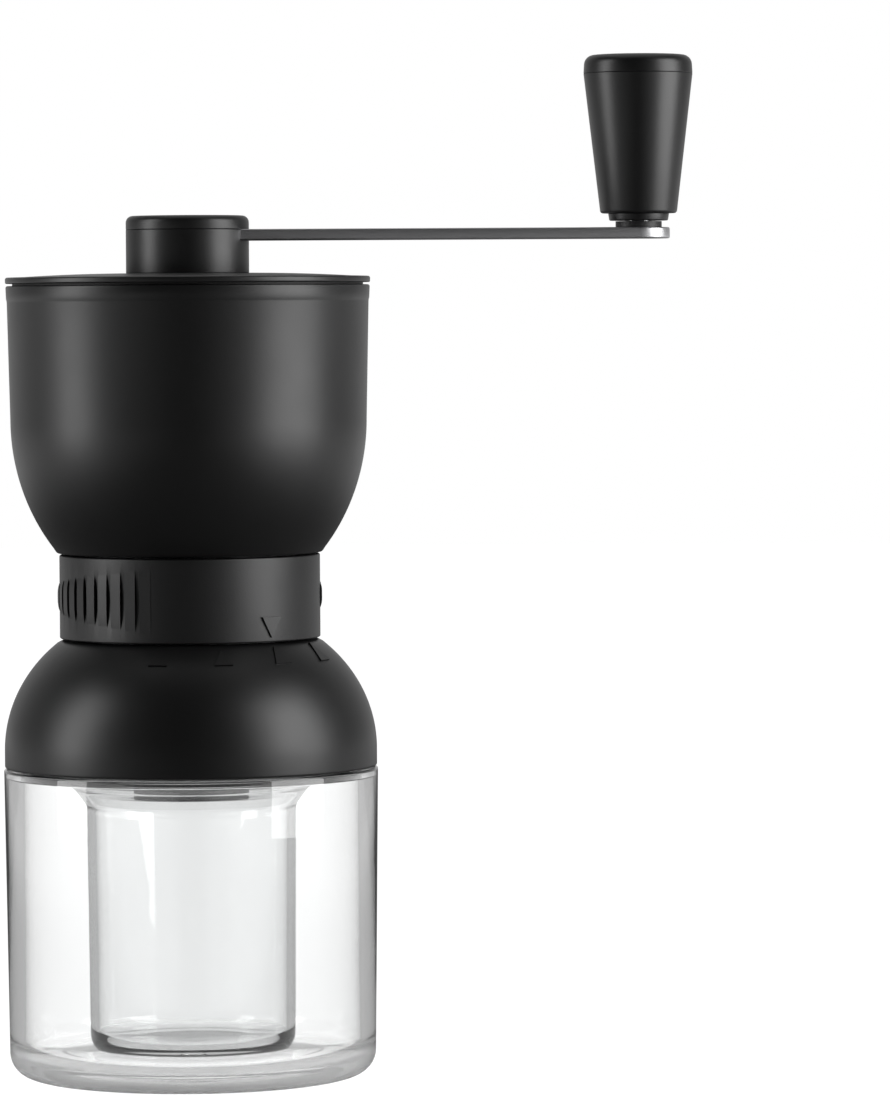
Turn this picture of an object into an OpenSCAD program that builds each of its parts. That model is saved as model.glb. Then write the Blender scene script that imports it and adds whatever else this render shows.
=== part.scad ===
// Hand crank coffee grinder: a bean hopper over a burr mill with an adjusting ring,
// standing on a double-wall clear jar. Millimetres, +Z up, -Y is the front, the crank
// points along +X, and the origin is the centre of the jar's foot.

/* [Jar] */
// Outer radius of the jar at its shoulder
jar_r = 42; // [40:0.1:48]
// Height of the jar's shoulder above the table
jar_h = 69.2; // [62:0.1:90]
// How far the outer wall leans in at the foot
jar_lean = 0.9; // [0:0.1:2]
// Wall of the outer jar
jar_wall = 3.4; // [2.4:0.1:4]
// Floor of the outer jar, above the foot's hollow
jar_floor = 3.1; // [2:0.1:5]
// Round between the outer wall and the foot
jar_round = 8.7; // [5:0.1:10]
// Depth of the hollow under the foot
foot_hollow = 1.1; // [0.4:0.1:2]
// Width of the foot ring that touches the table
foot_w = 3.4; // [2:0.1:5]
// Radius of the pad in the middle of the foot, level with the foot ring
pad_r = 3; // [2:0.1:6]

/* [Inner cup] */
// Outer radius of the inner cup at its floor
cup_r = 23; // [18:0.1:25]
// How far the cup widens up to its flare
cup_lean = 0.6; // [0:0.1:1.5]
// Wall of the inner cup
cup_wall = 1.9; // [1.4:0.1:2.6]
// Floor of the inner cup
cup_floor = 3; // [2:0.1:4]
// Air gap between the two floors
cup_gap = 0.8; // [0.5:0.1:3]
// Round between the cup's wall and floor
cup_round = 4.5; // [2:0.1:6]
// Height of the flare from the cup's wall to the shoulder
flare_h = 7.6; // [6:0.1:12]
// Radius of the small moulding nub under the cup
nub_r = 2.3; // [1.5:0.1:3]
// Thickness of the rim that closes the space between the walls
rim_t = 1.8; // [1.2:0.1:3]

/* [Neck and thread] */
// Outer radius of the threaded neck
neck_r = 35.6; // [34.5:0.1:35.8]
// Height of the neck above the shoulder
neck_h = 9.6; // [8:0.1:11]
// Wall of the neck
neck_wall = 2.2; // [1.6:0.1:3]
// Rise of the thread in one full turn
thread_lead = 8; // [7:0.1:9]
// Number of thread starts
thread_starts = 2; // [1:1:2]
// Angle that each thread ridge covers
thread_turn = 150; // [90:1:165]
// How far a thread ridge stands out
thread_depth = 1.1; // [0.8:0.1:1.3]
// Thickness of a thread ridge at its root
thread_w = 1.5; // [1:0.1:1.6]
// Clearance all round the thread
thread_play = 0.35; // [0.3:0.05:0.45]

/* [Collar] */
// How far the collar's widest part stays inside the jar's shoulder
collar_under = 0.2; // [0.1:0.1:0.6]
// Radius of the collar's top, under the adjusting ring
collar_top_r = 29; // [28.8:0.1:32]
// Height of the collar
collar_h = 28.6; // [28:0.1:34]
// Height of the collar's straight lower edge
collar_edge = 4; // [2:0.1:5]
// Share of a quarter ellipse that the collar's side follows
collar_share = 0.77; // [0.65:0.01:0.85]
// Wall of the collar
collar_wall = 2.5; // [2:0.1:3]
// Thickness of the collar's top plate
collar_plate = 3; // [2.6:0.1:4]
// Thickness of the shelf that presses on the seal
shelf_t = 1.8; // [1.2:0.1:2.4]
// Height of the jar seal
seal_t = 1.9; // [1.2:0.1:2.4]
// Width of the jar seal
seal_w = 3; // [2:0.1:4]

/* [Grind marks] */
// Number of grind marks on the collar
mark_count = 4; // [4:1:5]
// Angle between two grind marks
mark_pitch = 25; // [18:1:25]
// Place of the pointer among the marks, counted from the finest as 0
mark_now = 2; // [1:1:3]
// Length of the smallest mark
mark_small = 2.4; // [1.6:0.1:3.4]
// How far the marks start below the collar's top
mark_base = 4.2; // [3.6:0.1:6]
// How far the largest mark ends below the collar's top
mark_clear = 0.3; // [0.2:0.05:0.6]
// Width of a mark
mark_w = 4.2; // [2.5:0.1:5]
// How far the marks and the pointer stand out
mark_rise = 0.5; // [0.3:0.05:0.6]
// Pointer's angle to the right of the front
pointer_a = 37.5; // [0:0.5:60]
// Pointer height
pointer_h = 4.6; // [3:0.1:6]
// Pointer width
pointer_w = 5.2; // [3:0.1:6]
// Height of the pointer's tip above the ring's lower edge
pointer_rise = 1; // [0.5:0.1:3]

/* [Adjusting ring] */
// Outer radius of the adjusting ring
ring_r = 29.25; // [29:0.05:32]
// Height of the adjusting ring
ring_h = 18.7; // [17:0.1:24]
// Wall of the adjusting ring
ring_wall = 3.85; // [3.6:0.05:5]
// Gap above and below the adjusting ring
ring_gap = 0.4; // [0.3:0.05:0.8]
// Ribs in one grip
grip_ribs = 11; // [6:1:12]
// Angle between two ribs of a grip
grip_pitch = 7.2; // [6:0.1:8]
// Angle of a grip's tallest rib, to the left of the front
grip_start = 19.8; // [10:0.1:30]
// Height of a grip's tallest rib
grip_tall = 13.8; // [10:0.1:15]
// Height of a grip's shortest rib
grip_short = 4.2; // [3:0.1:8]
// Depth of the scoop between two ribs
grip_depth = 0.5; // [0.4:0.05:0.8]
// Width of the scoop between two ribs
grip_w = 1.6; // [1.2:0.1:2.4]
// How far the ribs stand out of the ring
grip_proud = 0.45; // [0.2:0.05:0.6]

/* [Cam] */
// Travel of the burr carrier in one full turn of the ring
cam_lead = 3.6; // [2:0.1:4.5]
// Number of cam pins and cam grooves
cam_count = 2; // [1:1:2]
// Radius of a cam pin
pin_r = 1.6; // [1.2:0.1:2]
// How far a cam pin reaches into its groove
pin_reach = 1.3; // [1:0.05:1.6]
// Clearance between cam pin and groove
cam_play = 0.25; // [0.15:0.05:0.35]

/* [Burr mill] */
// Wall of the burr housing
housing_wall = 3.2; // [2.9:0.1:4]
// Thickness of the housing's flange
housing_flange = 3; // [2:0.1:4]
// Height of the burr carrier
carrier_h = 14; // [12:0.1:15]
// Wall of the burr carrier
carrier_wall = 3.1; // [2.4:0.1:3.5]
// Thickness of the carrier's lip over the outer burr
carrier_lip = 1.5; // [1:0.1:2]
// Height of the inner burr
burr_h = 15.5; // [13:0.1:16]
// Height of the fine lower band of both burrs
burr_fine_h = 6; // [4:0.1:7]
// Radius of the outer burr's mouth at its lower edge
burr_mouth = 16; // [14.5:0.1:16.5]
// Radius of the outer burr where the fine band ends
burr_throat = 13.2; // [12:0.1:13.6]
// Gap between the burrs at the middle setting
burr_gap = 0.75; // [0.7:0.01:1.2]
// Radius of the inner burr at its top
burr_tip = 7.5; // [6.6:0.1:8.5]
// Number of fine teeth on each burr
fine_teeth = 24; // [16:1:30]
// Number of coarse teeth on each burr
coarse_teeth = 6; // [4:1:8]
// Thickness of the lower bridge
bridge_t = 3.2; // [2.4:0.1:4]
// Width of a bridge arm
bridge_arm = 4; // [3:0.1:6]
// Height of the bridge's hub
bridge_hub_h = 8; // [6:0.1:8.5]
// Thickness of the chute's flange
chute_flange = 2; // [1.4:0.1:3]
// Wall of the powder chute
chute_wall = 1.5; // [1.2:0.1:2]
// Outer radius of the chute's spout
spout_r = 12.9; // [10:0.1:16]
// How far the spout dips below the jar's shoulder
spout_drop = 4.2; // [2:0.1:5]

/* [Shaft] */
// Radius of the drive shaft
shaft_r = 3; // [2.5:0.05:3.2]
// Radial thickness of the bushes
bush_wall = 1.6; // [1.2:0.1:2]
// Thickness of the flange on each bush
bush_flange = 1; // [0.8:0.1:1.4]
// Thickness of the thrust washer
thrust_t = 1; // [0.6:0.1:1.4]
// Radius of the cross pin that drives the inner burr
cross_r = 1; // [0.8:0.05:1.2]
// Length of the cross pin
cross_l = 14; // [11:0.5:16]
// Radius of the spring's wire
wire_r = 0.45; // [0.3:0.05:0.6]
// Turns of the spring
spring_turns = 4; // [3:1:5]
// Thickness of the washer over the spring
spring_washer_t = 0.8; // [0.5:0.1:1.2]
// Thickness of the retaining clip
clip_t = 0.7; // [0.5:0.05:1]
// How far the shaft runs on below the clip
shaft_tail = 2; // [1:0.1:4]

/* [Hopper] */
// Radius of the hopper's foot, over the adjusting ring
bowl_foot_r = 29.6; // [28.6:0.1:31]
// Radius of the hopper's mouth
bowl_mouth_r = 40.6; // [40:0.05:47]
// How much narrower the hopper is where its side turns upright
bowl_taper = 0.65; // [0.3:0.05:1.5]
// Height of the hopper
bowl_h = 59.9; // [54:0.1:80]
// Height at which the side turns upright
bowl_belly_h = 29.9; // [26:0.1:38]
// Share of a quarter ellipse that the lower side follows
bowl_share = 0.67; // [0.6:0.01:0.8]
// Wall of the hopper
bowl_wall = 2.3; // [1.8:0.1:3]
// Floor of the hopper
bowl_floor = 2.8; // [2.2:0.1:4]
// Height of the lip round the mouth
lip_h = 3.2; // [2:0.1:5]
// How far the lip stands out
lip_proud = 0.2; // [0.1:0.05:0.5]
// Round at the hopper's lower edge
bowl_round = 0.9; // [0.4:0.1:1.5]
// Radius of the throat that leads to the burrs
throat_r = 15.5; // [14:0.1:17]
// Height of the tower's sloped foot at its outer edge
foot_h = 4.6; // [3.6:0.1:6]
// Height of the tower's hub above the hopper floor
tower_lift = 3; // [2:0.1:4]
// Height of the bearing tower
tower_h = 42; // [30:0.1:46]
// Width of a tower arm
tower_arm = 4; // [3:0.1:6]
// Wall of the tower's tube
tower_wall = 2; // [1.5:0.1:3]

/* [Lid] */
// How far the lid reaches past the hopper's mouth
lid_over = 0.3; // [0.1:0.05:0.8]
// Thickness of the lid at its edge
lid_t = 1.4; // [1.1:0.1:2.4]
// How far the lid rises to its middle
lid_rise = 0.8; // [0.3:0.1:2]
// Gap between the lid's edge and the hopper's mouth
lid_gap = 0.5; // [0.4:0.05:0.8]
// Depth of the seat in the lid that the crank hub turns in
lid_sink = 0.5; // [0.4:0.05:0.8]
// Depth of the lid's skirt
skirt_h = 6; // [4:0.1:8]
// Wall of the lid's skirt
skirt_wall = 1.8; // [1.4:0.1:2.4]
// Thickness of the gasket round the skirt
gasket_t = 1.3; // [1:0.1:1.6]
// Height of the gasket
gasket_h = 3.4; // [2.4:0.1:4]

/* [Crank hub] */
// Radius of the crank hub
hub_r = 13.8; // [13.4:0.1:16]
// Height of the hub's shell
shell_h = 9.95; // [9:0.05:13]
// Height of the hub's cap
cap_h = 3.2; // [2.6:0.1:4]
// Round of the cap's top edge
cap_round = 2.3; // [1:0.1:2.4]
// Wall of the hub's shell
shell_wall = 2; // [1.5:0.1:2.4]
// Radius of the steel socket
socket_r = 5.4; // [4.8:0.1:5.8]
// Depth of the hexagon in the socket, from the hub's underside
socket_depth = 8.1; // [6.5:0.1:8.6]

/* [Crank arm] */
// Distance from the shaft to the knob
crank_l = 101.4; // [70:0.1:130]
// Width of the arm
arm_w = 14; // [12:0.1:15]
// Thickness of the arm
arm_t = 2.5; // [2:0.1:3.2]

/* [Knob] */
// Radius of the knob at its widest
knob_r = 12.25; // [10.5:0.05:15]
// Radius of the knob's lower end
knob_foot_r = 8.6; // [7.4:0.05:10]
// Height of the tapered body
knob_h = 31.4; // [26:0.1:45]
// Height of the knob's cap
knob_cap_h = 4.3; // [3.2:0.1:6]
// Round of the knob's top edge
knob_round = 2.6; // [1:0.1:3]
// Radius of the collar under the knob
knob_collar_r = 6.85; // [5.8:0.05:7.2]
// Height of that collar
knob_collar_h = 1.65; // [1:0.05:3]
// Length of the collar's sleeve inside the knob
sleeve_l = 12; // [8:0.5:18]
// Radius of the washer between arm and collar
spacer_r = 5.2; // [4.4:0.05:5.6]
// Thickness of that washer
spacer_t = 1.35; // [0.8:0.05:2]
// Radius of the steel spindle
spindle_r = 3; // [2.6:0.05:3.4]
// Depth of the pocket under the knob's cap
pocket_h = 8.5; // [7:0.1:11]

/* [Fasteners] */
// Radius of the small screws
screw_r = 1; // [0.8:0.05:1.15]
// Radius of their heads
head_r = 1.9; // [1.6:0.05:2.1]
// Height of their heads
head_h = 1.2; // [0.8:0.1:1.4]
// Length of thread that a screw has in the piece it holds
grip_l = 2.2; // [1.6:0.1:2.4]
// Number of screws in each ring of screws
screw_count = 3; // [3:1:3]

/* [Fits] */
// Clearance between two fixed pieces
fit = 0.05; // [0.02:0.01:0.08]
// Radial clearance of a shaft in its bush
run = 0.05; // [0.02:0.01:0.1]
// Clearance between moving pieces
seam = 0.3; // [0.25:0.05:0.5]

/* [Hidden] */

$fn = 96;
front = -90;           // direction of the front, as an angle about +Z
slop = 0.2;            // how far a cutter reaches past the face that it cuts
steps = 20;            // points along a curved outline
bite = 0.3;            // how far a raised form reaches into the wall that carries it
root = 1;              // how far an arm or a rib starts inside what carries it
lid_steps = 8;         // points along the lid's crown
ridge_step = 6;        // angle of one step of a thread ridge
wire_steps = 20;       // steps in one turn of the spring
wire_sides = 8;        // sides of the spring's wire
channel_in = 1;        // angle that a pin's channel starts inside the end of its groove
screw_a = 30;          // direction of the first screw of a ring
strut_a = 90;          // direction of the first arm of the bridge and of the tower
thread_share = 0.45;   // start of the neck's thread, as a share of the neck's height
mark_lean = 0.7;       // share of a mark's length that it climbs
mark_growth = 0.35;    // how fast the marks grow: 1 is even steps, 0 is all the same
flare_low = [0.12, 0.3];   // lower point of the cup's flare, as shares of reach and height
flare_mid = [0.32, 0.55];  // middle point of the flare
flare_end = 0.9;       // share of its reach at which the flare meets the rim
flare_tilt = 0.7;      // how much higher the flare's inner side lies, in walls
key_share = 0.8;       // hexagon in a screw's head, against the screw's radius
stub_share = 0.8;      // reduced end of a shaft or spindle, against its radius
burr_lip = 1;          // width of the outer burr's upper edge
bridge_lip = 2;        // how far the bridge's ring reaches inside the housing
tooth_cut = 1.6;       // side of the square cutter of a fine tooth
tooth_off = 0.7;       // how far that cutter's middle stands off the burr's face
tooth_a = 12;          // slant of the fine teeth
coarse_share = 0.8;    // start of the coarse teeth, as a share of the fine band
outer_cut_r = 1.8;     // radius of the cutter of an outer coarse tooth
outer_cut_in = 0.4;    // how far that cutter starts inside the throat
outer_cut_a = [20, 6, 0];  // its slant and lean
inner_cut_r = 2.4;     // radius of the cutter of an inner coarse tooth
inner_cut_off = 0.6;   // how far that cutter starts outside the inner burr
inner_cut_a = 34;      // its slant
pin_cover = 0.5;       // burr left under the cross pin
foot_margin = 0.5;     // bare edge of the hopper's floor on each side of the tower's foot
foot_edge = 1.2;       // height of the tower's foot at its inner edge
seat_t = 1;            // thickness under the head of a sunk screw
boss_wall = 1.2;       // wall of a screw boss in the hub
arm_bed = 1;           // how far the arm's bed in the hub is wider than the arm
hex_step = 0.6;        // how much smaller the socket's hexagon is than the socket
washer_t = 1;          // thickness of the washer in the knob
pocket_wall = 1.5;     // how much wider the knob's pocket is than the sleeve
plug_wall = 1.2;       // wall of the plug under the knob's cap
plug_h = 2;            // height of that plug

// Curves of the collar's and the hopper's side
collar_r = jar_r - collar_under;
collar_belly = collar_h - collar_edge;
bowl_belly_r = bowl_mouth_r - bowl_taper;

// Heights, each from the piece below it
neck_top = jar_h + neck_h;
seal_z = neck_top + fit;
shelf_z = seal_z + seal_t + fit;
collar_z = jar_h + seam;
collar_top = collar_z + collar_h;
plate_z = collar_top - collar_plate;
flange_z = plate_z - housing_flange;
bridge_z = flange_z - bridge_t;
chute_z = bridge_z - chute_flange;
spout_z = jar_h - spout_drop;
bridge_top = bridge_z + bridge_hub_h;
thrust_z = bridge_top + bush_flange + fit;
burr_z = thrust_z + thrust_t;
burr_top = burr_z + burr_h;
ring_z = collar_top + ring_gap;
ring_top = ring_z + ring_h;
bowl_z = ring_top + ring_gap;
floor_z = bowl_z + bowl_floor;
bowl_top = bowl_z + bowl_h;
tower_z = floor_z + tower_lift;
tower_top = tower_z + tower_h;
lid_z = bowl_top + lid_gap;
lid_top = lid_z + lid_t + lid_rise;
lid_seat_z = lid_top - lid_sink;
hub_z = lid_seat_z + seam;
split_z = hub_z + shell_h;
hub_top = split_z + cap_h;
arm_z = split_z - arm_t;
spacer_top = split_z + spacer_t;
knob_collar_z = spacer_top + seam / 2;
knob_z = knob_collar_z + knob_collar_h;
knob_split_z = knob_z + knob_h;
pocket_z = knob_split_z - pocket_h;
shaft_top = hub_z + socket_depth - seam;
clip_z = bridge_z - bush_flange - fit - clip_t;
thread_z = jar_h + neck_h * thread_share;
cross_z = burr_z + cross_r + pin_cover;
seat_z = floor_z + seat_t;

// Radii, each from the piece beside it
jar_in_r = jar_r - jar_wall;
jar_foot_r = jar_r - jar_lean;
cup_top_r = cup_r + cup_lean;
neck_in_r = neck_r - neck_wall;
skirt_in_r = neck_r + thread_depth + thread_play;
ring_in_r = ring_r - ring_wall;
housing_r = ring_in_r - seam;
housing_in_r = housing_r - housing_wall;
flange_r = collar_at(collar_plate) - collar_wall - fit;
screw_ring_r = (housing_r + flange_r) / 2;
tower_ring_r = housing_r - housing_wall / 2;
carrier_r = housing_in_r - seam / 2;
outer_burr_r = carrier_r - carrier_wall;
groove_r = ring_in_r + pin_reach + seam;
bush_r = shaft_r + run + bush_wall;
bush_flange_r = bush_r + bush_wall;
bridge_hub_r = bush_r + 2 * bush_wall;
tower_r = bush_r + tower_wall;
bowl_mouth_in_r = bowl_mouth_r - bowl_wall;
gasket_r = bowl_at(bowl_h - gasket_h) - bowl_wall - fit;
skirt_r = gasket_r - gasket_t;
lid_r = bowl_mouth_r + lid_over;
lid_edge_r = lid_r - lid_gap;
lid_seat_r = hub_r + seam;
spring_r = shaft_r + 2 * wire_r + seam;
sleeve_r = spindle_r + run + bush_wall;
hub_screw_r = (hub_r - shell_wall + arm_w / 2) / 2 + screw_r / 2;
stub_r = shaft_r * stub_share;
spindle_stub_r = spindle_r * stub_share;
arm_hex_r = socket_r - hex_step;
pocket_r = sleeve_r + pocket_wall;

// Lengths of thread
cap_grip = cap_h / 2;
knob_grip = 4 * grip_l;
tower_grip = 2 * grip_l;
mark_large = (mark_base - mark_clear) / mark_lean;

// Angles
mark_first_a = pointer_a - mark_now * mark_pitch;
coarse_turn = (mark_count - 1 - mark_now) * mark_pitch;
fine_turn = mark_now * mark_pitch;
cam_end = asin((pin_r + cam_play) / ring_in_r);
cam_turn = max(coarse_turn, fine_turn);
cam_tilt = asin(cam_lead * cam_turn / 360 / (ring_in_r * sin(cam_turn)));
carrier_rise = cam_lead * coarse_turn / 360;
carrier_fall = cam_lead * fine_turn / 360;
cam_pin_z = burr_z + carrier_h / 2;

// Radius at height z of a side that swells from foot_r to belly_r along part of an ellipse
function swell(foot_r, belly_r, belly_h, share, z) =
    let (k = sqrt(1 - share * share), a = (belly_r - foot_r) / (1 - k))
    belly_r - a + a * sqrt(1 - pow(share * (belly_h - z) / belly_h, 2));

// Collar's radius at a depth d below its top
function collar_at(d) =
    swell(collar_top_r, collar_r, collar_belly, collar_share, min(d, collar_belly));

// Hopper's radius at a height h above its foot, without the lip
function bowl_at(h) = h < bowl_belly_h
    ? swell(bowl_foot_r, bowl_belly_r, bowl_belly_h, bowl_share, h)
    : bowl_belly_r + (bowl_mouth_r - bowl_belly_r) * (h - bowl_belly_h) / (bowl_h - bowl_belly_h);

// Points of a round corner of radius r about centre c, from angle a0 to a1
function arc(c, r, a0, a1, n = 8) =
    [for (i = [0:n]) let (a = a0 + (a1 - a0) * i / n) c + r * [cos(a), sin(a)]];

// A tube or washer from z up
module tube(r, bore, h, z) {
    translate([0, 0, z])
        difference() {
            cylinder(r = r, h = h);
            translate([0, 0, -slop]) cylinder(r = bore, h = h + 2 * slop);
        }
}

// A ridge of trapezoid section that climbs round radius r, standing out by depth
// (or in, where depth is negative), from angle a0 through turn degrees
module helix_ridge(r, depth, w, lead, a0, turn, z) {
    n = ceil(turn / ridge_step);
    root = r - sign(depth) * bite;
    tip = r + depth;
    tip_w = w / 2;
    section = [[root, -w / 2], [tip, -tip_w / 2], [tip, tip_w / 2], [root, w / 2]];
    points = [
        for (i = [0:n], p = section)
            let (a = turn * i / n)
            [p[0] * cos(a0 + a), p[0] * sin(a0 + a), z + p[1] + lead * a / 360]
    ];
    sides = [
        for (i = [0:n - 1], j = [0:3])
            let (k = (j + 1) % 4, a = 4 * i + j, b = 4 * i + k, c = a + 4, d = b + 4)
            each (depth > 0 ? [[a, b, c], [b, d, c]] : [[a, c, b], [b, c, d]])
    ];
    first = [[0, 2, 1], [0, 3, 2]];
    last = [for (f = [[0, 1, 2], [0, 2, 3]]) [for (v = f) v + 4 * n]];
    flip = [for (f = concat(first, last)) [f[0], f[2], f[1]]];
    polyhedron(points, concat(sides, depth > 0 ? concat(first, last) : flip), convexity = 4);
}

// Repeats its children round the axis
module around(count, start = 0) {
    for (i = [0:count - 1]) rotate(start + i * 360 / count) children();
}

// Repeats its children at the hub's screws, which leave the arm's place free
module at_hub_screws() {
    for (i = [1:screw_count]) rotate(i * 360 / (screw_count + 1)) translate([hub_screw_r, 0, 0]) children();
}

// A flat triangle, w wide and h high, standing on its base with its middle at the origin
module triangle(w, h) {
    polygon([[-w / 2, -h / 2], [w / 2, -h / 2], [0, h / 2]]);
}

// A screw of length l under its head, pointing up, with the head's top at z
module screw(l, z) {
    translate([0, 0, z - slop / 2]) cylinder(r = screw_r, h = l + slop / 2);
    translate([0, 0, z - head_h])
        difference() {
            cylinder(r = head_r, h = head_h);
            translate([0, 0, -slop]) cylinder(r = screw_r * key_share, h = head_h / 2 + slop, $fn = 6);
        }
}

module outer_jar() {
    in_foot = jar_foot_r - jar_wall;
    floor_top = foot_hollow + jar_floor;
    color("white", 0.3)
        rotate_extrude()
            polygon(concat(
                [[0, 0], [pad_r, 0], [pad_r + foot_hollow / 2, foot_hollow]],
                [[jar_foot_r - jar_round - foot_w, foot_hollow]],
                [[jar_foot_r - jar_round - foot_w + foot_hollow / 2, 0]],
                arc([jar_foot_r - jar_round, jar_round], jar_round, -90, 0),
                [[jar_r, jar_h], [jar_in_r + fit, jar_h], [jar_in_r + fit, jar_h - rim_t]],
                [[jar_in_r - cup_gap, jar_h - rim_t]],
                arc([in_foot - jar_round, floor_top + jar_round], jar_round, 0, -90),
                [[0, floor_top]]
            ));
}

module inner_cup() {
    z0 = foot_hollow + jar_floor + cup_gap;
    flare_z = jar_h - rim_t - flare_h;
    reach = neck_r - cup_top_r;
    low = [cup_top_r + reach * flare_low[0], flare_z + flare_h * flare_low[1]];
    mid = [cup_top_r + reach * flare_mid[0], flare_z + flare_h * flare_mid[1]];
    color("white", 0.3) {
        rotate_extrude()
            polygon(concat(
                [[0, z0]],
                arc([cup_r - cup_round, z0 + cup_round], cup_round, -90, 0),
                [[cup_top_r, flare_z], low, mid],
                [[cup_top_r + reach * flare_end, jar_h - rim_t]],
                [[jar_in_r, jar_h - rim_t], [jar_in_r, jar_h]],
                [[neck_r, jar_h], [neck_r, neck_top], [neck_in_r, neck_top], [neck_in_r, jar_h]],
                [mid + cup_wall * [-1, flare_tilt], low + cup_wall * [-1, flare_tilt / 3]],
                [[cup_top_r - cup_wall, flare_z]],
                arc([cup_r - cup_round, z0 + cup_floor + cup_round - cup_wall],
                    cup_round - cup_wall, 0, -90),
                [[0, z0 + cup_floor]]
            ));
        around(thread_starts)
            helix_ridge(neck_r, thread_depth, thread_w, thread_lead, 0, thread_turn, thread_z);
        difference() {
            translate([0, 0, z0 - cup_gap / 2]) cylinder(r = nub_r, h = cup_gap / 2 + slop);
            translate([0, 0, z0 - cup_gap]) cylinder(r = nub_r / 2, h = cup_gap);
        }
    }
}

module jar_seal() {
    color("gainsboro") tube(neck_r, neck_r - seal_w, seal_t, seal_z);
}

module base_collar() {
    wall_z = shelf_z + shelf_t;
    depth = collar_top - wall_z;
    color([0.08, 0.08, 0.08])
        difference() {
            union() {
                rotate_extrude()
                    polygon(concat(
                        [[housing_r + fit, collar_top]],
                        [for (i = [0:steps]) let (d = collar_belly * i / steps)
                            [collar_at(d), collar_top - d]],
                        [[collar_r, collar_z], [skirt_in_r, collar_z], [skirt_in_r, shelf_z]],
                        [[neck_r - seal_w, shelf_z], [neck_r - seal_w, wall_z]],
                        [for (i = [0:steps / 2])
                            let (d = depth + (collar_plate - depth) * i * 2 / steps)
                            [collar_at(d) - collar_wall, collar_top - d]],
                        [[housing_r + fit, plate_z]]
                    ));
                around(thread_starts)
                    helix_ridge(skirt_in_r, -thread_depth, thread_w, thread_lead, 0, thread_turn,
                        thread_z - thread_w - thread_play);
                for (i = [0:mark_count - 1]) grind_mark(i);
            }
            around(screw_count, screw_a)
                translate([screw_ring_r, 0, plate_z - slop])
                    cylinder(r = screw_r + fit, h = grip_l + slop);
        }
}

// One of the raised triangles round the collar, which grow towards the coarse end
module grind_mark(i) {
    h = mark_small + (mark_large - mark_small) * pow(i / (mark_count - 1), mark_growth);
    low_r = collar_at(mark_base);
    high_r = collar_at(mark_base - h * mark_lean);
    slope = atan2(h * mark_lean, low_r - high_r);
    rotate(front + mark_first_a + i * mark_pitch)
        translate([low_r, 0, collar_top - mark_base])
            rotate([0, slope - 90, 0])
                translate([-bite, 0, h / 2])
                    rotate([90, 0, 90])
                        linear_extrude(bite + mark_rise) triangle(mark_w, h);
}

module powder_chute() {
    in_r = spout_r - chute_wall;
    top_in_r = housing_in_r - chute_wall;
    bend_z = jar_h + seam;
    color([0.1, 0.1, 0.1])
        difference() {
            rotate_extrude()
                polygon([
                    [in_r, spout_z], [spout_r, spout_z], [spout_r, bend_z],
                    [housing_in_r, chute_z], [flange_r, chute_z], [flange_r, bridge_z],
                    [top_in_r, bridge_z], [top_in_r, chute_z + chute_flange / 2], [in_r, bend_z]
                ]);
            around(screw_count, screw_a)
                translate([screw_ring_r, 0, chute_z - slop])
                    cylinder(r = screw_r + fit, h = chute_flange + 2 * slop);
        }
}

module collar_screws() {
    l = chute_flange + bridge_t + housing_flange + grip_l - 2 * fit;
    color("silver")
        around(screw_count, screw_a) translate([screw_ring_r, 0, 0]) screw(l, chute_z);
}

module burr_housing() {
    slot_low = cam_pin_z - carrier_fall - pin_r - cam_play;
    slot_h = 2 * (pin_r + cam_play) + carrier_fall + carrier_rise;
    color([0.13, 0.13, 0.14])
        difference() {
            union() {
                tube(housing_r, housing_in_r, bowl_z - flange_z, flange_z);
                tube(flange_r, housing_in_r, housing_flange, flange_z);
            }
            around(cam_count)
                translate([housing_in_r - slop, -pin_r - run, slot_low])
                    cube([housing_wall + 2 * slop, 2 * (pin_r + run), slot_h]);
            around(screw_count, screw_a)
                translate([screw_ring_r, 0, flange_z - slop])
                    cylinder(r = screw_r + fit, h = housing_flange + 2 * slop);
            around(screw_count, screw_a)
                translate([tower_ring_r, 0, bowl_z - tower_grip])
                    cylinder(r = screw_r + fit, h = tower_grip + slop);
        }
}

module lower_bridge() {
    color([0.13, 0.13, 0.14])
        difference() {
            union() {
                tube(flange_r, housing_in_r - bridge_lip, bridge_t, bridge_z);
                around(screw_count, strut_a)
                    translate([bush_r + root, -bridge_arm / 2, bridge_z])
                        cube([housing_in_r - bush_r - root, bridge_arm, bridge_t]);
                translate([0, 0, bridge_z]) cylinder(r = bridge_hub_r, h = bridge_hub_h);
            }
            translate([0, 0, bridge_z - slop])
                cylinder(r = bush_r + fit, h = bridge_hub_h + 2 * slop);
            around(screw_count, screw_a)
                translate([screw_ring_r, 0, bridge_z - slop])
                    cylinder(r = screw_r + fit, h = bridge_t + 2 * slop);
        }
}

module lower_bush() {
    color("tan") {
        tube(bush_r, shaft_r + run, bridge_hub_h, bridge_z);
        tube(bush_flange_r, shaft_r + run, bush_flange, bridge_top);
    }
}

// Cutter of one scoop of a grip: an upright rod that sinks depth into the ring
module scoop(h, depth, w) {
    translate([ring_r - depth + w / 2, 0, ring_z + (ring_h - h) / 2])
        cylinder(r = w / 2, h = h);
}

// Height of rib i of a grip
function rib_h(i) = grip_tall + (grip_short - grip_tall) * i / (grip_ribs - 1);

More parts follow.
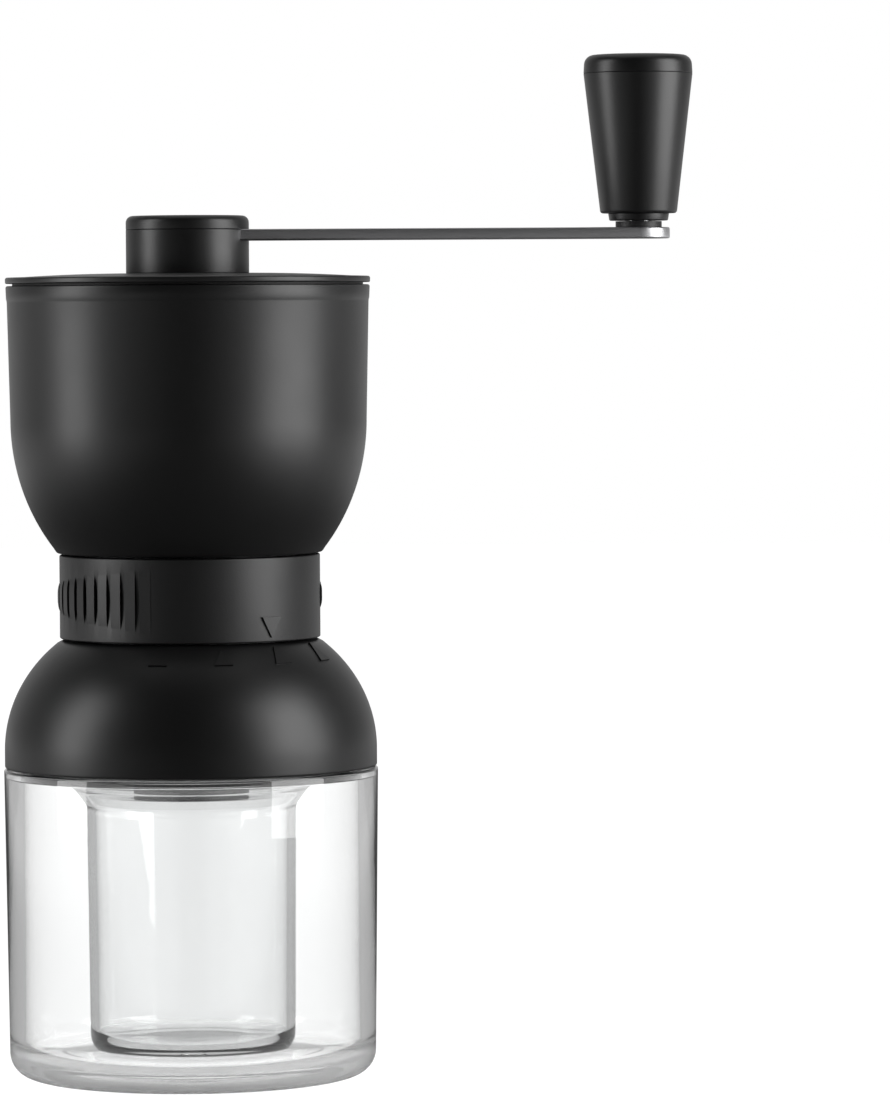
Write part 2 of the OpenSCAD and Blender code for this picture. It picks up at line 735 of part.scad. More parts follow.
module adjusting_ring() {
    rib_w = ring_r * grip_pitch * PI / 180 - grip_w - 2 * slop;
    color([0.1, 0.1, 0.1])
        difference() {
            union() {
                tube(ring_r, ring_in_r, ring_h, ring_z);
                around(2)
                    for (i = [0:grip_ribs - 1])
                        rotate(front - grip_start - i * grip_pitch)
                            intersection() {
                                translate([ring_r - root, -rib_w / 2, ring_z + (ring_h - rib_h(i)) / 2])
                                    cube([root + grip_proud, rib_w, rib_h(i)]);
                                translate([0, 0, ring_z])
                                    cylinder(r = ring_r + grip_proud, h = ring_h);
                            }
                rotate(front + pointer_a)
                    translate([ring_r - bite, 0, ring_z + pointer_rise + pointer_h / 2])
                        rotate([90, 180, 90])
                            linear_extrude(bite + mark_rise) triangle(pointer_w, pointer_h);
            }
            around(2)
                for (i = [0:grip_ribs - 2])
                    rotate(front - grip_start - (i + 1 / 2) * grip_pitch)
                        scoop(rib_h(i + 1 / 2), grip_depth, grip_w);
            around(cam_count) cam_groove();
        }
}

// Groove in which one cam pin runs, tilted so that it falls as the ring turns, with the
// channel that lets the pin in from above
module cam_groove() {
    a0 = -coarse_turn - cam_end;
    a1 = fine_turn + cam_end;
    h = pin_r + cam_play;
    translate([0, 0, cam_pin_z])
        rotate([-cam_tilt, 0, 0])
            rotate(a0)
                rotate_extrude(angle = a1 - a0)
                    translate([ring_in_r - slop, -h]) square([groove_r - ring_in_r + slop, 2 * h]);
    rotate(a1 - cam_end - channel_in)
        translate([ring_in_r - root, -h, cam_pin_z - cam_lead * a1 / 360 + slop])
            cube([groove_r - ring_in_r + root - slop, 2 * h, ring_h]);
}

module burr_carrier() {
    color([0.16, 0.16, 0.17])
        difference() {
            union() {
                tube(carrier_r, outer_burr_r + fit, carrier_h, burr_z);
                tube(carrier_r, burr_throat + burr_lip, carrier_lip, burr_z + carrier_h - carrier_lip);
            }
            around(cam_count)
                translate([outer_burr_r, 0, cam_pin_z])
                    rotate([0, 90, 0]) cylinder(r = pin_r + fit, h = carrier_wall + slop);
        }
}

module outer_burr() {
    h = carrier_h - carrier_lip;
    color("ivory")
        difference() {
            rotate_extrude()
                polygon([
                    [burr_mouth, burr_z], [outer_burr_r, burr_z], [outer_burr_r, burr_z + h],
                    [burr_throat + burr_lip, burr_z + h], [burr_throat, burr_z + burr_fine_h]
                ]);
            around(fine_teeth)
                translate([burr_mouth, 0, burr_z])
                    rotate([0, atan2(burr_throat - burr_mouth, burr_fine_h), 0])
                        rotate([tooth_a, 0, 0])
                            translate([-tooth_off, 0, burr_fine_h / 2])
                                rotate(45) cube([tooth_cut, tooth_cut, burr_fine_h], center = true);
            around(coarse_teeth)
                translate([burr_throat - outer_cut_in, 0, burr_z + burr_fine_h * coarse_share])
                    rotate(outer_cut_a) cylinder(r = outer_cut_r, h = h);
        }
}

module cam_pins() {
    l = ring_in_r + pin_reach - outer_burr_r - fit;
    color("silver")
        around(cam_count)
            translate([outer_burr_r + fit, 0, cam_pin_z])
                rotate([0, 90, 0]) cylinder(r = pin_r, h = l);
}

module hopper_bowl() {
    color([0.08, 0.08, 0.08])
        difference() {
            rotate_extrude()
                polygon(concat(
                    [[throat_r, bowl_z], [bowl_foot_r - bowl_round, bowl_z]],
                    [for (i = [0:steps])
                        let (h = bowl_round + (bowl_belly_h - bowl_round) * i / steps)
                        [bowl_at(h), bowl_z + h]],
                    [[bowl_at(bowl_h - lip_h), bowl_top - lip_h]],
                    [[bowl_at(bowl_h - lip_h) + lip_proud, bowl_top - lip_h]],
                    [[bowl_mouth_r + lip_proud, bowl_top], [bowl_mouth_in_r, bowl_top]],
                    [for (i = [0:steps])
                        let (h = bowl_belly_h + (bowl_floor - bowl_belly_h) * i / steps)
                        [bowl_at(h) - bowl_wall, bowl_z + h]],
                    [[throat_r, floor_z]]
                ));
            around(screw_count, screw_a)
                translate([tower_ring_r, 0, bowl_z - slop])
                    cylinder(r = screw_r + fit, h = bowl_floor + 2 * slop);
        }
}

module bearing_tower() {
    foot_in = throat_r + foot_margin;
    foot_out = bowl_at(bowl_floor) - bowl_wall - foot_margin;
    color([0.12, 0.12, 0.12])
        difference() {
            union() {
                rotate_extrude()
                    polygon([
                        [foot_in, floor_z], [foot_out, floor_z],
                        [foot_out, floor_z + foot_h], [foot_in, floor_z + foot_edge]
                    ]);
                around(screw_count, strut_a)
                    translate([bush_r + root, -tower_arm / 2, tower_z])
                        cube([foot_out - bush_r - 2 * root, tower_arm, foot_h]);
                around(screw_count, strut_a)
                    translate([foot_in, -tower_arm / 2, floor_z])
                        cube([foot_out - foot_in - root, tower_arm, tower_lift + root]);
                translate([0, 0, tower_z]) cylinder(r = tower_r, h = tower_h);
            }
            translate([0, 0, tower_z - slop])
                cylinder(r = shaft_r + seam, h = tower_h + 2 * slop);
            translate([0, 0, tower_top - bridge_hub_h])
                cylinder(r = bush_r + fit, h = bridge_hub_h + slop);
            around(screw_count, screw_a)
                translate([tower_ring_r, 0, floor_z - slop])
                    cylinder(r = screw_r + fit, h = foot_h + 2 * slop);
            around(screw_count, screw_a)
                translate([tower_ring_r, 0, seat_z])
                    cylinder(r = head_r + fit, h = foot_h + slop);
        }
}

module tower_screws() {
    l = seat_t + bowl_floor + tower_grip - 2 * fit;
    color("silver")
        around(screw_count, screw_a)
            translate([tower_ring_r, 0, seat_z]) mirror([0, 0, 1]) screw(l, 0);
}

module upper_bush() {
    color("tan") {
        tube(bush_r, shaft_r + run, bridge_hub_h, tower_top - bridge_hub_h);
        tube(bush_flange_r, shaft_r + run, bush_flange, tower_top);
    }
}

module drive_shaft() {
    z0 = clip_z - shaft_tail;
    hex_l = socket_depth + seam;
    color("silver")
        difference() {
            union() {
                translate([0, 0, z0]) cylinder(r = shaft_r, h = shaft_top - hex_l - z0);
                translate([0, 0, shaft_top - hex_l - slop])
                    cylinder(r = shaft_r, h = hex_l + slop, $fn = 6);
            }
            tube(shaft_r + root, stub_r, clip_t + 2 * fit, clip_z - fit);
            translate([0, -shaft_r - slop, cross_z])
                rotate([-90, 0, 0]) cylinder(r = cross_r + fit, h = 2 * (shaft_r + slop));
        }
}

module inner_burr() {
    side = burr_gap / cos(atan2(burr_mouth - burr_throat, burr_fine_h));
    low_r = burr_mouth - side;
    mid_r = burr_throat - side;
    color("ivory")
        difference() {
            translate([0, 0, burr_z])
                rotate_extrude()
                    polygon([
                        [shaft_r + fit, 0], [low_r, 0], [mid_r, burr_fine_h],
                        [burr_tip, burr_h], [shaft_r + fit, burr_h]
                    ]);
            around(fine_teeth)
                translate([low_r, 0, burr_z])
                    rotate([0, atan2(mid_r - low_r, burr_fine_h), 0])
                        rotate([-tooth_a, 0, 0])
                            translate([tooth_off, 0, burr_fine_h / 2])
                                rotate(45) cube([tooth_cut, tooth_cut, burr_fine_h], center = true);
            around(coarse_teeth)
                translate([mid_r + inner_cut_off, 0, burr_z + burr_fine_h * coarse_share])
                    rotate([-inner_cut_a, atan2(burr_tip - mid_r, burr_h - burr_fine_h), 0])
                        cylinder(r = inner_cut_r, h = burr_h);
            translate([-cross_r - fit, -cross_l / 2 - fit, burr_z - slop])
                cube([2 * (cross_r + fit), cross_l + 2 * fit, 2 * cross_r + pin_cover + fit + slop]);
        }
}

module drive_pin() {
    color("silver")
        translate([0, -cross_l / 2, cross_z])
            rotate([-90, 0, 0]) cylinder(r = cross_r, h = cross_l);
}

module thrust_washer() {
    color("goldenrod") tube(bush_flange_r, shaft_r + fit, thrust_t, thrust_z);
}

// Round wire wound about the shaft, with both ends flat on what they press on
module burr_spring() {
    z0 = burr_top + wire_r;
    rise = tower_z - seam - spring_washer_t - wire_r - z0;
    n = wire_steps * spring_turns;
    sides = wire_sides;
    points = [
        for (i = [0:n], j = [0:sides - 1])
            let (a = 360 * spring_turns * i / n, b = 360 * j / sides, r = spring_r + wire_r * cos(b))
            [r * cos(a), r * sin(a), z0 + rise * i / n + wire_r * sin(b)]
    ];
    skin = [
        for (i = [0:n - 1], j = [0:sides - 1])
            let (k = (j + 1) % sides, a = sides * i + j, b = sides * i + k, c = a + sides, d = b + sides)
            each [[a, b, c], [b, d, c]]
    ];
    first = [for (j = [1:sides - 2]) [0, j + 1, j]];
    last = [for (j = [1:sides - 2]) [sides * n, sides * n + j, sides * n + j + 1]];
    color("silver") polyhedron(points, concat(skin, first, last), convexity = 8);
}

module spring_washer() {
    z = tower_z - seam - spring_washer_t;
    color("silver") tube(spring_r + 2 * wire_r, shaft_r + fit, spring_washer_t, z);
}

module retaining_clip() {
    color("dimgray")
        difference() {
            tube(bush_flange_r, stub_r + fit, clip_t, clip_z);
            translate([0, -stub_r, clip_z - slop])
                cube([bush_flange_r + slop, 2 * stub_r, clip_t + 2 * slop]);
        }
}

module lid_disc() {
    bore = bush_r + fit;
    color([0.09, 0.09, 0.09])
        rotate_extrude()
            polygon(concat(
                [[bore, lid_z], [skirt_r - skirt_wall, lid_z], [skirt_r - skirt_wall, lid_z - skirt_h]],
                [[skirt_r, lid_z - skirt_h], [skirt_r, lid_z], [lid_edge_r, lid_z]],
                [[lid_r, lid_z + lid_gap], [lid_r, lid_z + lid_t - lid_gap], [lid_edge_r, lid_z + lid_t]],
                [for (i = [1:lid_steps])
                    let (t = i / lid_steps, r = lid_edge_r + (lid_seat_r - lid_edge_r) * t)
                    [r, lid_z + lid_t + lid_rise * (1 - pow(1 - t, 2))]],
                [[lid_seat_r, lid_seat_z], [bore, lid_seat_z]]
            ));
}

module lid_gasket() {
    flange_w = bowl_wall / 2;
    color([0.1, 0.1, 0.1])
        rotate_extrude()
            polygon([
                [skirt_r + fit, lid_z - gasket_h], [gasket_r, lid_z - gasket_h],
                [gasket_r, bowl_top + fit], [gasket_r + flange_w, bowl_top + fit],
                [gasket_r + flange_w, lid_z], [skirt_r + fit, lid_z]
            ]);
}

module lid_bush() {
    bore = shaft_r + seam;
    color("tan") {
        tube(bush_r, bore, lid_seat_z - lid_z, lid_z);
        tube(bush_flange_r, bore, bush_flange, lid_z - bush_flange);
    }
}

module hub_shell() {
    color([0.08, 0.08, 0.08])
        difference() {
            translate([0, 0, hub_z]) cylinder(r = hub_r, h = shell_h);
            difference() {
                translate([0, 0, hub_z + shell_wall])
                    cylinder(r = hub_r - shell_wall, h = shell_h);
                translate([0, 0, hub_z]) cylinder(r = socket_r + shell_wall, h = arm_z - hub_z);
                at_hub_screws() translate([0, 0, hub_z]) cylinder(r = screw_r + boss_wall, h = shell_h);
                translate([arm_w / 2 + arm_bed, -arm_w / 2 - arm_bed, hub_z])
                    cube([hub_r, arm_w + 2 * arm_bed, arm_z - hub_z]);
            }
            translate([0, -arm_w / 2 - fit, arm_z])
                cube([hub_r + slop, arm_w + 2 * fit, arm_t + slop]);
            translate([0, 0, hub_z - slop]) cylinder(r = socket_r + fit, h = shell_h);
            at_hub_screws()
                translate([0, 0, hub_z - slop]) cylinder(r = screw_r + fit, h = shell_h + 2 * slop);
            at_hub_screws()
                translate([0, 0, hub_z - slop]) cylinder(r = head_r + fit, h = head_h + slop);
        }
}

module hub_cap() {
    color([0.08, 0.08, 0.08])
        difference() {
            rotate_extrude()
                polygon(concat(
                    [[0, split_z], [hub_r, split_z]],
                    arc([hub_r - cap_round, hub_top - cap_round], cap_round, 0, 90),
                    [[0, hub_top]]
                ));
            at_hub_screws()
                translate([0, 0, split_z - slop]) cylinder(r = screw_r + fit, h = cap_grip + slop);
        }
}

module hub_screws() {
    l = shell_h - head_h + cap_grip - 2 * fit;
    color("silver")
        at_hub_screws() screw(l, hub_z + head_h);
}

module drive_socket() {
    color("gray")
        difference() {
            union() {
                translate([0, 0, hub_z + seam]) cylinder(r = socket_r, h = arm_z - hub_z - seam);
                translate([0, 0, arm_z]) cylinder(r = arm_hex_r, h = arm_t, $fn = 6);
            }
            translate([0, 0, hub_z])
                cylinder(r = shaft_r + 2 * run, h = socket_depth, $fn = 6);
        }
}

module crank_arm() {
    color("silver")
        difference() {
            union() {
                translate([0, 0, arm_z]) cylinder(r = arm_w / 2, h = arm_t);
                translate([0, -arm_w / 2, arm_z]) cube([crank_l, arm_w, arm_t]);
                translate([crank_l, 0, arm_z]) cylinder(r = arm_w / 2, h = arm_t);
            }
            translate([0, 0, arm_z - slop])
                cylinder(r = arm_hex_r + fit, h = arm_t + 2 * slop, $fn = 6);
            translate([crank_l, 0, arm_z - slop])
                cylinder(r = spindle_stub_r + fit, h = arm_t + 2 * slop);
        }
}

module knob_spindle() {
    top = pocket_z + seam;
    color("silver")
        translate([crank_l, 0, 0])
            difference() {
                union() {
                    translate([0, 0, arm_z]) cylinder(r = spindle_stub_r, h = arm_t + slop);
                    translate([0, 0, split_z]) cylinder(r = spindle_r, h = top - split_z);
                }
                translate([0, 0, top - knob_grip])
                    cylinder(r = screw_r + fit, h = knob_grip + slop);
            }
}

module spacer_washer() {
    color("dimgray") translate([crank_l, 0, 0]) tube(spacer_r, spindle_r + fit, spacer_t, split_z);
}

module knob_washer() {
    z = pocket_z + seam;
    color("silver") translate([crank_l, 0, 0]) tube(sleeve_r, screw_r + fit, washer_t, z);
}

module knob_screw() {
    color("silver")
        translate([crank_l, 0, pocket_z + seam + washer_t])
            mirror([0, 0, 1]) screw(washer_t + knob_grip - 2 * fit, 0);
}

module knob_body() {
    color([0.08, 0.08, 0.08])
        translate([crank_l, 0, 0])
            difference() {
                translate([0, 0, knob_z]) cylinder(r1 = knob_foot_r, r2 = knob_r, h = knob_h);
                translate([0, 0, knob_z - slop])
                    cylinder(r = sleeve_r + fit, h = sleeve_l + slop);
                translate([0, 0, knob_z - slop])
                    cylinder(r = spindle_r + seam, h = knob_h + slop);
                translate([0, 0, pocket_z])
                    cylinder(r = pocket_r, h = pocket_h + slop);
            }
}

module knob_cap() {
    plug_r = pocket_r - fit;
    color([0.08, 0.08, 0.08])
        translate([crank_l, 0, knob_split_z])
            union() {
                rotate_extrude()
                    polygon(concat(
                        [[0, 0], [knob_r, 0], [knob_r, knob_cap_h - knob_round]],
                        arc([knob_r - knob_round, knob_cap_h - knob_round], knob_round, 0, 90),
                        [[0, knob_cap_h]]
                    ));
                tube(plug_r, plug_r - plug_wall, plug_h, -plug_h);
            }
}

module knob_collar() {
    color([0.1, 0.1, 0.1])
        translate([crank_l, 0, 0]) {
            tube(knob_collar_r, spindle_r + run, knob_collar_h, knob_collar_z);
            tube(sleeve_r, spindle_r + run, sleeve_l, knob_z);
        }
}

outer_jar();
inner_cup();
jar_seal();
base_collar();
powder_chute();
collar_screws();
burr_housing();
lower_bridge();
lower_bush();
adjusting_ring();
burr_carrier();
outer_burr();
cam_pins();
hopper_bowl();
bearing_tower();
tower_screws();
upper_bush();
drive_shaft();
inner_burr();
drive_pin();
thrust_washer();
burr_spring();
spring_washer();
retaining_clip();
lid_disc();
lid_gasket();
lid_bush();
hub_shell();
hub_cap();
hub_screws();
drive_socket();
crank_arm();
knob_spindle();
spacer_washer();
knob_washer();
knob_screw();
knob_body();
knob_cap();
knob_collar();
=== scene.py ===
"""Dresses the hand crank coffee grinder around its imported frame.

Every length is in metres, in the frame's own axes: +Z up, -Y is the front and the crank
points along +X. A piece takes its place from the frame's node that it stands for.
"""

import logging
import math
from dataclasses import dataclass, field
from enum import Enum

import bmesh
import bpy
from mathutils import Matrix, Vector


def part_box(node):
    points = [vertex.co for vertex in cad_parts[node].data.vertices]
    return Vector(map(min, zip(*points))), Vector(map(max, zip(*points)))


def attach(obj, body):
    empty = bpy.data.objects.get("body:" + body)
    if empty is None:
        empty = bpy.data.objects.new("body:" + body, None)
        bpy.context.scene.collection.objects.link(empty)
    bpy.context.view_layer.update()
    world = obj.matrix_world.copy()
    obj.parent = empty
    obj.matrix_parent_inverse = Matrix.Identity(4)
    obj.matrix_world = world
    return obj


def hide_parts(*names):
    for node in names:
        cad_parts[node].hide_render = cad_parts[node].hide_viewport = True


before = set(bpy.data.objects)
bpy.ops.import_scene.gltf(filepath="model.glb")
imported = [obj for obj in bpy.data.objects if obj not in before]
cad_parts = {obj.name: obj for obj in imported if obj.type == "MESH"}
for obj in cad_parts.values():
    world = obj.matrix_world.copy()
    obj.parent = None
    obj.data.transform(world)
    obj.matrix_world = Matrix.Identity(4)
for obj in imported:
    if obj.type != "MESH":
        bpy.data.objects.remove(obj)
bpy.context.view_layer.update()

LOG = logging.getLogger("grinder")
MM = 0.001
SEGMENTS = 192  # facets round a large turned piece
SMALL_SEGMENTS = 96  # facets round a small turned piece
ARC_STEP = math.radians(11)  # widest step along a rounded corner
CREASE = math.radians(32)  # an edge sharper than this stays sharp
FRONT = -math.pi / 2  # direction of the front about +Z

Point = tuple[float, float]
Corner = tuple[float, float, float]


class Body(str, Enum):
    """The moving bodies of the frame."""

    JAR = "jar"
    SEAL = "seal"
    MILL = "mill"
    ADJUSTER = "adjuster"
    CARRIER = "carrier"
    SHAFT = "shaft"
    CRANK = "crank"
    KNOB = "knob"
    LID = "lid"


class Slot(str, Enum):
    """The material slots of the record."""

    BLACK = "black_plastic"
    RING = "ring_plastic"
    KNOB = "knob_plastic"
    MILL = "mill_plastic"
    CLEAR = "clear"
    SILICONE = "silicone"
    GASKET = "black_silicone"
    CERAMIC = "ceramic"
    BUSH = "bush_plastic"
    BRONZE = "bronze"
    STEEL = "steel"
    ARM = "arm_steel"
    DARK = "dark_washer"


# ---------------------------------------------------------------- finishes


@dataclass(frozen=True)
class Finish:
    """A procedural finish, made once and shared by every piece that wears it.

    Args:
        slot: Material slot of the record that the finish belongs to.
        colour: Linear base colour.
        rough: Mean roughness.
        rough_swing: How far the roughness drifts either way.
        grain: Size of one grain of the surface.
        relief: Depth of the grain.
        metallic: 1 for metal, 0 for anything else.
        ior: Index of refraction.
        stretch: Scale of the grain along X, Y and Z, for a brushed or turned surface.
    """

    slot: Slot
    colour: tuple[float, float, float]
    rough: float
    rough_swing: float = 0.04
    grain: float = 0.25 * MM
    relief: float = 0.006 * MM
    metallic: float = 0.0
    ior: float = 1.5
    stretch: tuple[float, float, float] = (1.0, 1.0, 1.0)

    def build(self) -> bpy.types.Material:
        """Makes the material's nodes.

        Returns:
            The finished material.
        """
        material = bpy.data.materials.new(self.slot.value)
        material.use_nodes = True
        nodes, links = material.node_tree.nodes, material.node_tree.links
        shader = nodes["Principled BSDF"]
        shader.inputs["Metallic"].default_value = self.metallic
        shader.inputs["IOR"].default_value = self.ior
        place = nodes.new("ShaderNodeTexCoord")
        mapping = nodes.new("ShaderNodeMapping")
        mapping.inputs["Scale"].default_value = self.stretch
        links.new(place.outputs["Object"], mapping.inputs["Vector"])
        grain = self._noise(nodes, links, mapping, 1.0 / self.grain, 3.0)
        drift = self._noise(nodes, links, mapping, 1.0 / (30 * self.grain), 2.0)
        rough = nodes.new("ShaderNodeMapRange")
        rough.inputs["To Min"].default_value = self.rough - self.rough_swing
        rough.inputs["To Max"].default_value = self.rough + self.rough_swing
        links.new(drift, rough.inputs["Value"])
        links.new(rough.outputs["Result"], shader.inputs["Roughness"])
        tint = nodes.new("ShaderNodeMix")
        tint.data_type = "RGBA"
        tint.inputs["A"].default_value = (*[c * 0.86 for c in self.colour], 1)
        tint.inputs["B"].default_value = (*[min(1.0, c * 1.14) for c in self.colour], 1)
        links.new(grain, tint.inputs["Factor"])
        links.new(tint.outputs["Result"], shader.inputs["Base Color"])
        bump = nodes.new("ShaderNodeBump")
        bump.inputs["Strength"].default_value = 1.0
        bump.inputs["Distance"].default_value = self.relief
        links.new(grain, bump.inputs["Height"])
        links.new(bump.outputs["Normal"], shader.inputs["Normal"])
        return material

    @staticmethod
    def _noise(
        nodes: bpy.types.Nodes,
        links: bpy.types.NodeLinks,
        mapping: bpy.types.Node,
        scale: float,
        detail: float,
    ) -> bpy.types.NodeSocket:
        """Adds one noise layer on the mapped coordinates.

        Returns:
            Its factor output.
        """
        noise = nodes.new("ShaderNodeTexNoise")
        noise.inputs["Scale"].default_value = scale
        noise.inputs["Detail"].default_value = detail
        links.new(mapping.outputs["Vector"], noise.inputs["Vector"])
        return noise.outputs["Fac"]


@dataclass(frozen=True)
class ClearFinish:
    """Clear moulded plastic with the faintest waviness of a moulding.

    Args:
        slot: Material slot of the record.
        colour: Linear tint of what passes through.
        ior: Index of refraction.
        wave: Width of the moulding's waves.
        relief: Depth of those waves.
        satin: Height up to which the foot is moulded with a satin grain.
        milk: Share of light that the satin grain scatters.
    """

    slot: Slot = Slot.CLEAR
    colour: tuple[float, float, float] = (0.966, 0.97, 0.97)
    ior: float = 1.49
    wave: float = 14 * MM
    relief: float = 0.02 * MM
    satin: float = 6.0 * MM
    milk: float = 0.3

    def build(self) -> bpy.types.Material:
        """Makes the material's nodes.

        Returns:
            The finished material.
        """
        material = bpy.data.materials.new(self.slot.value)
        material.use_nodes = True
        nodes, links = material.node_tree.nodes, material.node_tree.links
        shader = nodes["Principled BSDF"]
        shader.inputs["Base Color"].default_value = (*self.colour, 1)
        shader.inputs["Roughness"].default_value = 0.0
        shader.inputs["IOR"].default_value = self.ior
        shader.inputs["Transmission Weight"].default_value = 1.0
        place = nodes.new("ShaderNodeTexCoord")
        noise = nodes.new("ShaderNodeTexNoise")
        noise.inputs["Scale"].default_value = 1.0 / self.wave
        noise.inputs["Detail"].default_value = 1.0
        bump = nodes.new("ShaderNodeBump")
        bump.inputs["Distance"].default_value = self.relief
        links.new(place.outputs["Object"], noise.inputs["Vector"])
        links.new(noise.outputs["Fac"], bump.inputs["Height"])
        links.new(bump.outputs["Normal"], shader.inputs["Normal"])
        split = nodes.new("ShaderNodeSeparateXYZ")
        links.new(place.outputs["Object"], split.inputs[0])
        for name, top, bottom in (
            ("Transmission Weight", 1.0, 1.0 - self.milk),
            ("Roughness", 0.0, 0.15),
        ):
            grain = nodes.new("ShaderNodeMapRange")
            grain.interpolation_type = "SMOOTHSTEP"
            grain.inputs["From Max"].default_value = self.satin
            grain.inputs["To Min"].default_value = bottom
            grain.inputs["To Max"].default_value = top
            links.new(split.outputs["Z"], grain.inputs["Value"])
            links.new(grain.outputs["Result"], shader.inputs[name])
        return material


FINISHES = (
    Finish(Slot.BLACK, (0.004, 0.004, 0.0042), 0.39, 0.03, 0.30 * MM, 0.010 * MM),
    Finish(Slot.RING, (0.0055, 0.0055, 0.0058), 0.45, 0.03, 0.36 * MM, 0.016 * MM),
    Finish(Slot.KNOB, (0.004, 0.004, 0.0042), 0.37, 0.03, 0.30 * MM, 0.009 * MM),
    Finish(Slot.MILL, (0.05, 0.05, 0.055), 0.55, 0.05, 0.5 * MM, 0.02 * MM),
    Finish(Slot.SILICONE, (0.62, 0.62, 0.61), 0.5, 0.05, 0.6 * MM, 0.01 * MM),
    Finish(Slot.GASKET, (0.008, 0.008, 0.008), 0.55, 0.04, 0.6 * MM, 0.01 * MM),
    Finish(Slot.CERAMIC, (0.78, 0.75, 0.69), 0.32, 0.05, 0.4 * MM, 0.01 * MM, 0.0, 1.6),
    Finish(Slot.BUSH, (0.6, 0.56, 0.45), 0.45, 0.05, 0.6 * MM, 0.01 * MM),
    Finish(Slot.BRONZE, (0.7, 0.46, 0.22), 0.3, 0.06, 0.3 * MM, 0.006 * MM, 1.0),
    Finish(
        Slot.STEEL, (0.6, 0.6, 0.61), 0.28, 0.06, 0.3 * MM, 0.006 * MM, 1.0, 1.5, (1, 1, 5)
    ),
    Finish(
        Slot.ARM, (0.5, 0.5, 0.51), 0.4, 0.07, 0.22 * MM, 0.008 * MM, 1.0, 1.5, (0.05, 1, 1)
    ),
    Finish(Slot.DARK, (0.012, 0.012, 0.012), 0.5),
    ClearFinish(),
)


class Wardrobe:
    """Builds each finish once and hands it out by its slot."""

    def __init__(self) -> None:
        """Builds every finish."""
        self._made = {finish.slot: finish.build() for finish in FINISHES}

    def get(self, slot: Slot) -> bpy.types.Material:
        """Gives the material of a slot."""
        return self._made[slot]


# ---------------------------------------------------------------- outlines


def box_of(node: str) -> tuple[Vector, Vector]:
    """Gives the lowest and highest corner of a node of the frame."""
    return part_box(node)


def arc_points(centre: Point, radius: float, start: float, end: float) -> list[Point]:
    """Lists points along an arc.

    Args:
        centre: Centre of the arc.
        radius: Radius of the arc.
        start: First angle.
        end: Last angle.

    Returns:
        The points, both ends included.
    """
    count = max(2, math.ceil(abs(end - start) / ARC_STEP))
    turns = [start + (end - start) * i / count for i in range(count + 1)]
    return [(centre[0] + radius * math.cos(a), centre[1] + radius * math.sin(a)) for a in turns]


def rounded(corners: list[Corner]) -> list[Point]:
    """Rounds the corners of a closed outline.

    Args:
        corners: Radius, height and fillet of each corner, in order.

    Returns:
        The outline's points, with an arc in place of each corner that has a fillet.
    """
    points: list[Point] = []
    count = len(corners)
    for i, (r, z, fillet) in enumerate(corners):
        here = Vector((r, z))
        if fillet <= 0:
            points.append((r, z))
            continue
        before = Vector(corners[i - 1][:2]) - here
        after = Vector(corners[(i + 1) % count][:2]) - here
        half = before.angle(after) / 2
        reach = min(fillet / math.tan(half), before.length * 0.49, after.length * 0.49)
        radius = reach * math.tan(half)
        start = here + before.normalized() * reach
        end = here + after.normalized() * reach
        centre = here + (before.normalized() + after.normalized()).normalized() * (
            radius / math.sin(half)
        )
        a0 = math.atan2(start.y - centre.y, start.x - centre.x)
        a1 = math.atan2(end.y - centre.y, end.x - centre.x)
        turn = (a1 - a0 + math.pi) % math.tau - math.pi
        points.extend(arc_points((centre.x, centre.y), radius, a0, a0 + turn))
    return points


def swell(foot: float, belly: float, height: float, share: float, at: float) -> float:
    """Gives the radius of a side that swells along part of an ellipse.

    Args:
        foot: Radius where the side starts.
        belly: Largest radius.
        height: Height at which the largest radius is reached.
        share: Share of the quarter ellipse that the side follows.
        at: Height to measure at.

    Returns:
        The radius there.
    """
    rest = math.sqrt(1 - share * share)
    reach = (belly - foot) / (1 - rest)
    lean = share * (height - min(at, height)) / height
    return belly - reach + reach * math.sqrt(1 - lean * lean)


# ---------------------------------------------------------------- meshes


def new_object(name: str, mesh: bpy.types.Mesh) -> bpy.types.Object:
    """Links a new object for a mesh, at the origin.

    Args:
        name: Name of the object.
        mesh: Its mesh.

    Returns:
        The object.
    """
    piece = bpy.data.objects.new(name, mesh)
    bpy.context.scene.collection.objects.link(piece)
    return piece


def finish_mesh(work: bmesh.types.BMesh, name: str) -> bpy.types.Object:
    """Closes, orients and smooths a mesh and makes an object of it.

    Args:
        work: The mesh in the making, freed here.
        name: Name of the object.

    Returns:
        The new object.
    """
    bmesh.ops.remove_doubles(work, verts=work.verts, dist=1e-7)
    bmesh.ops.dissolve_degenerate(work, edges=work.edges, dist=1e-8)
    bmesh.ops.recalc_face_normals(work, faces=work.faces)
    mesh = bpy.data.meshes.new(name)
    work.to_mesh(mesh)
    work.free()
    mesh.shade_smooth()
    mesh.set_sharp_from_angle(angle=CREASE)
    return new_object(name, mesh)


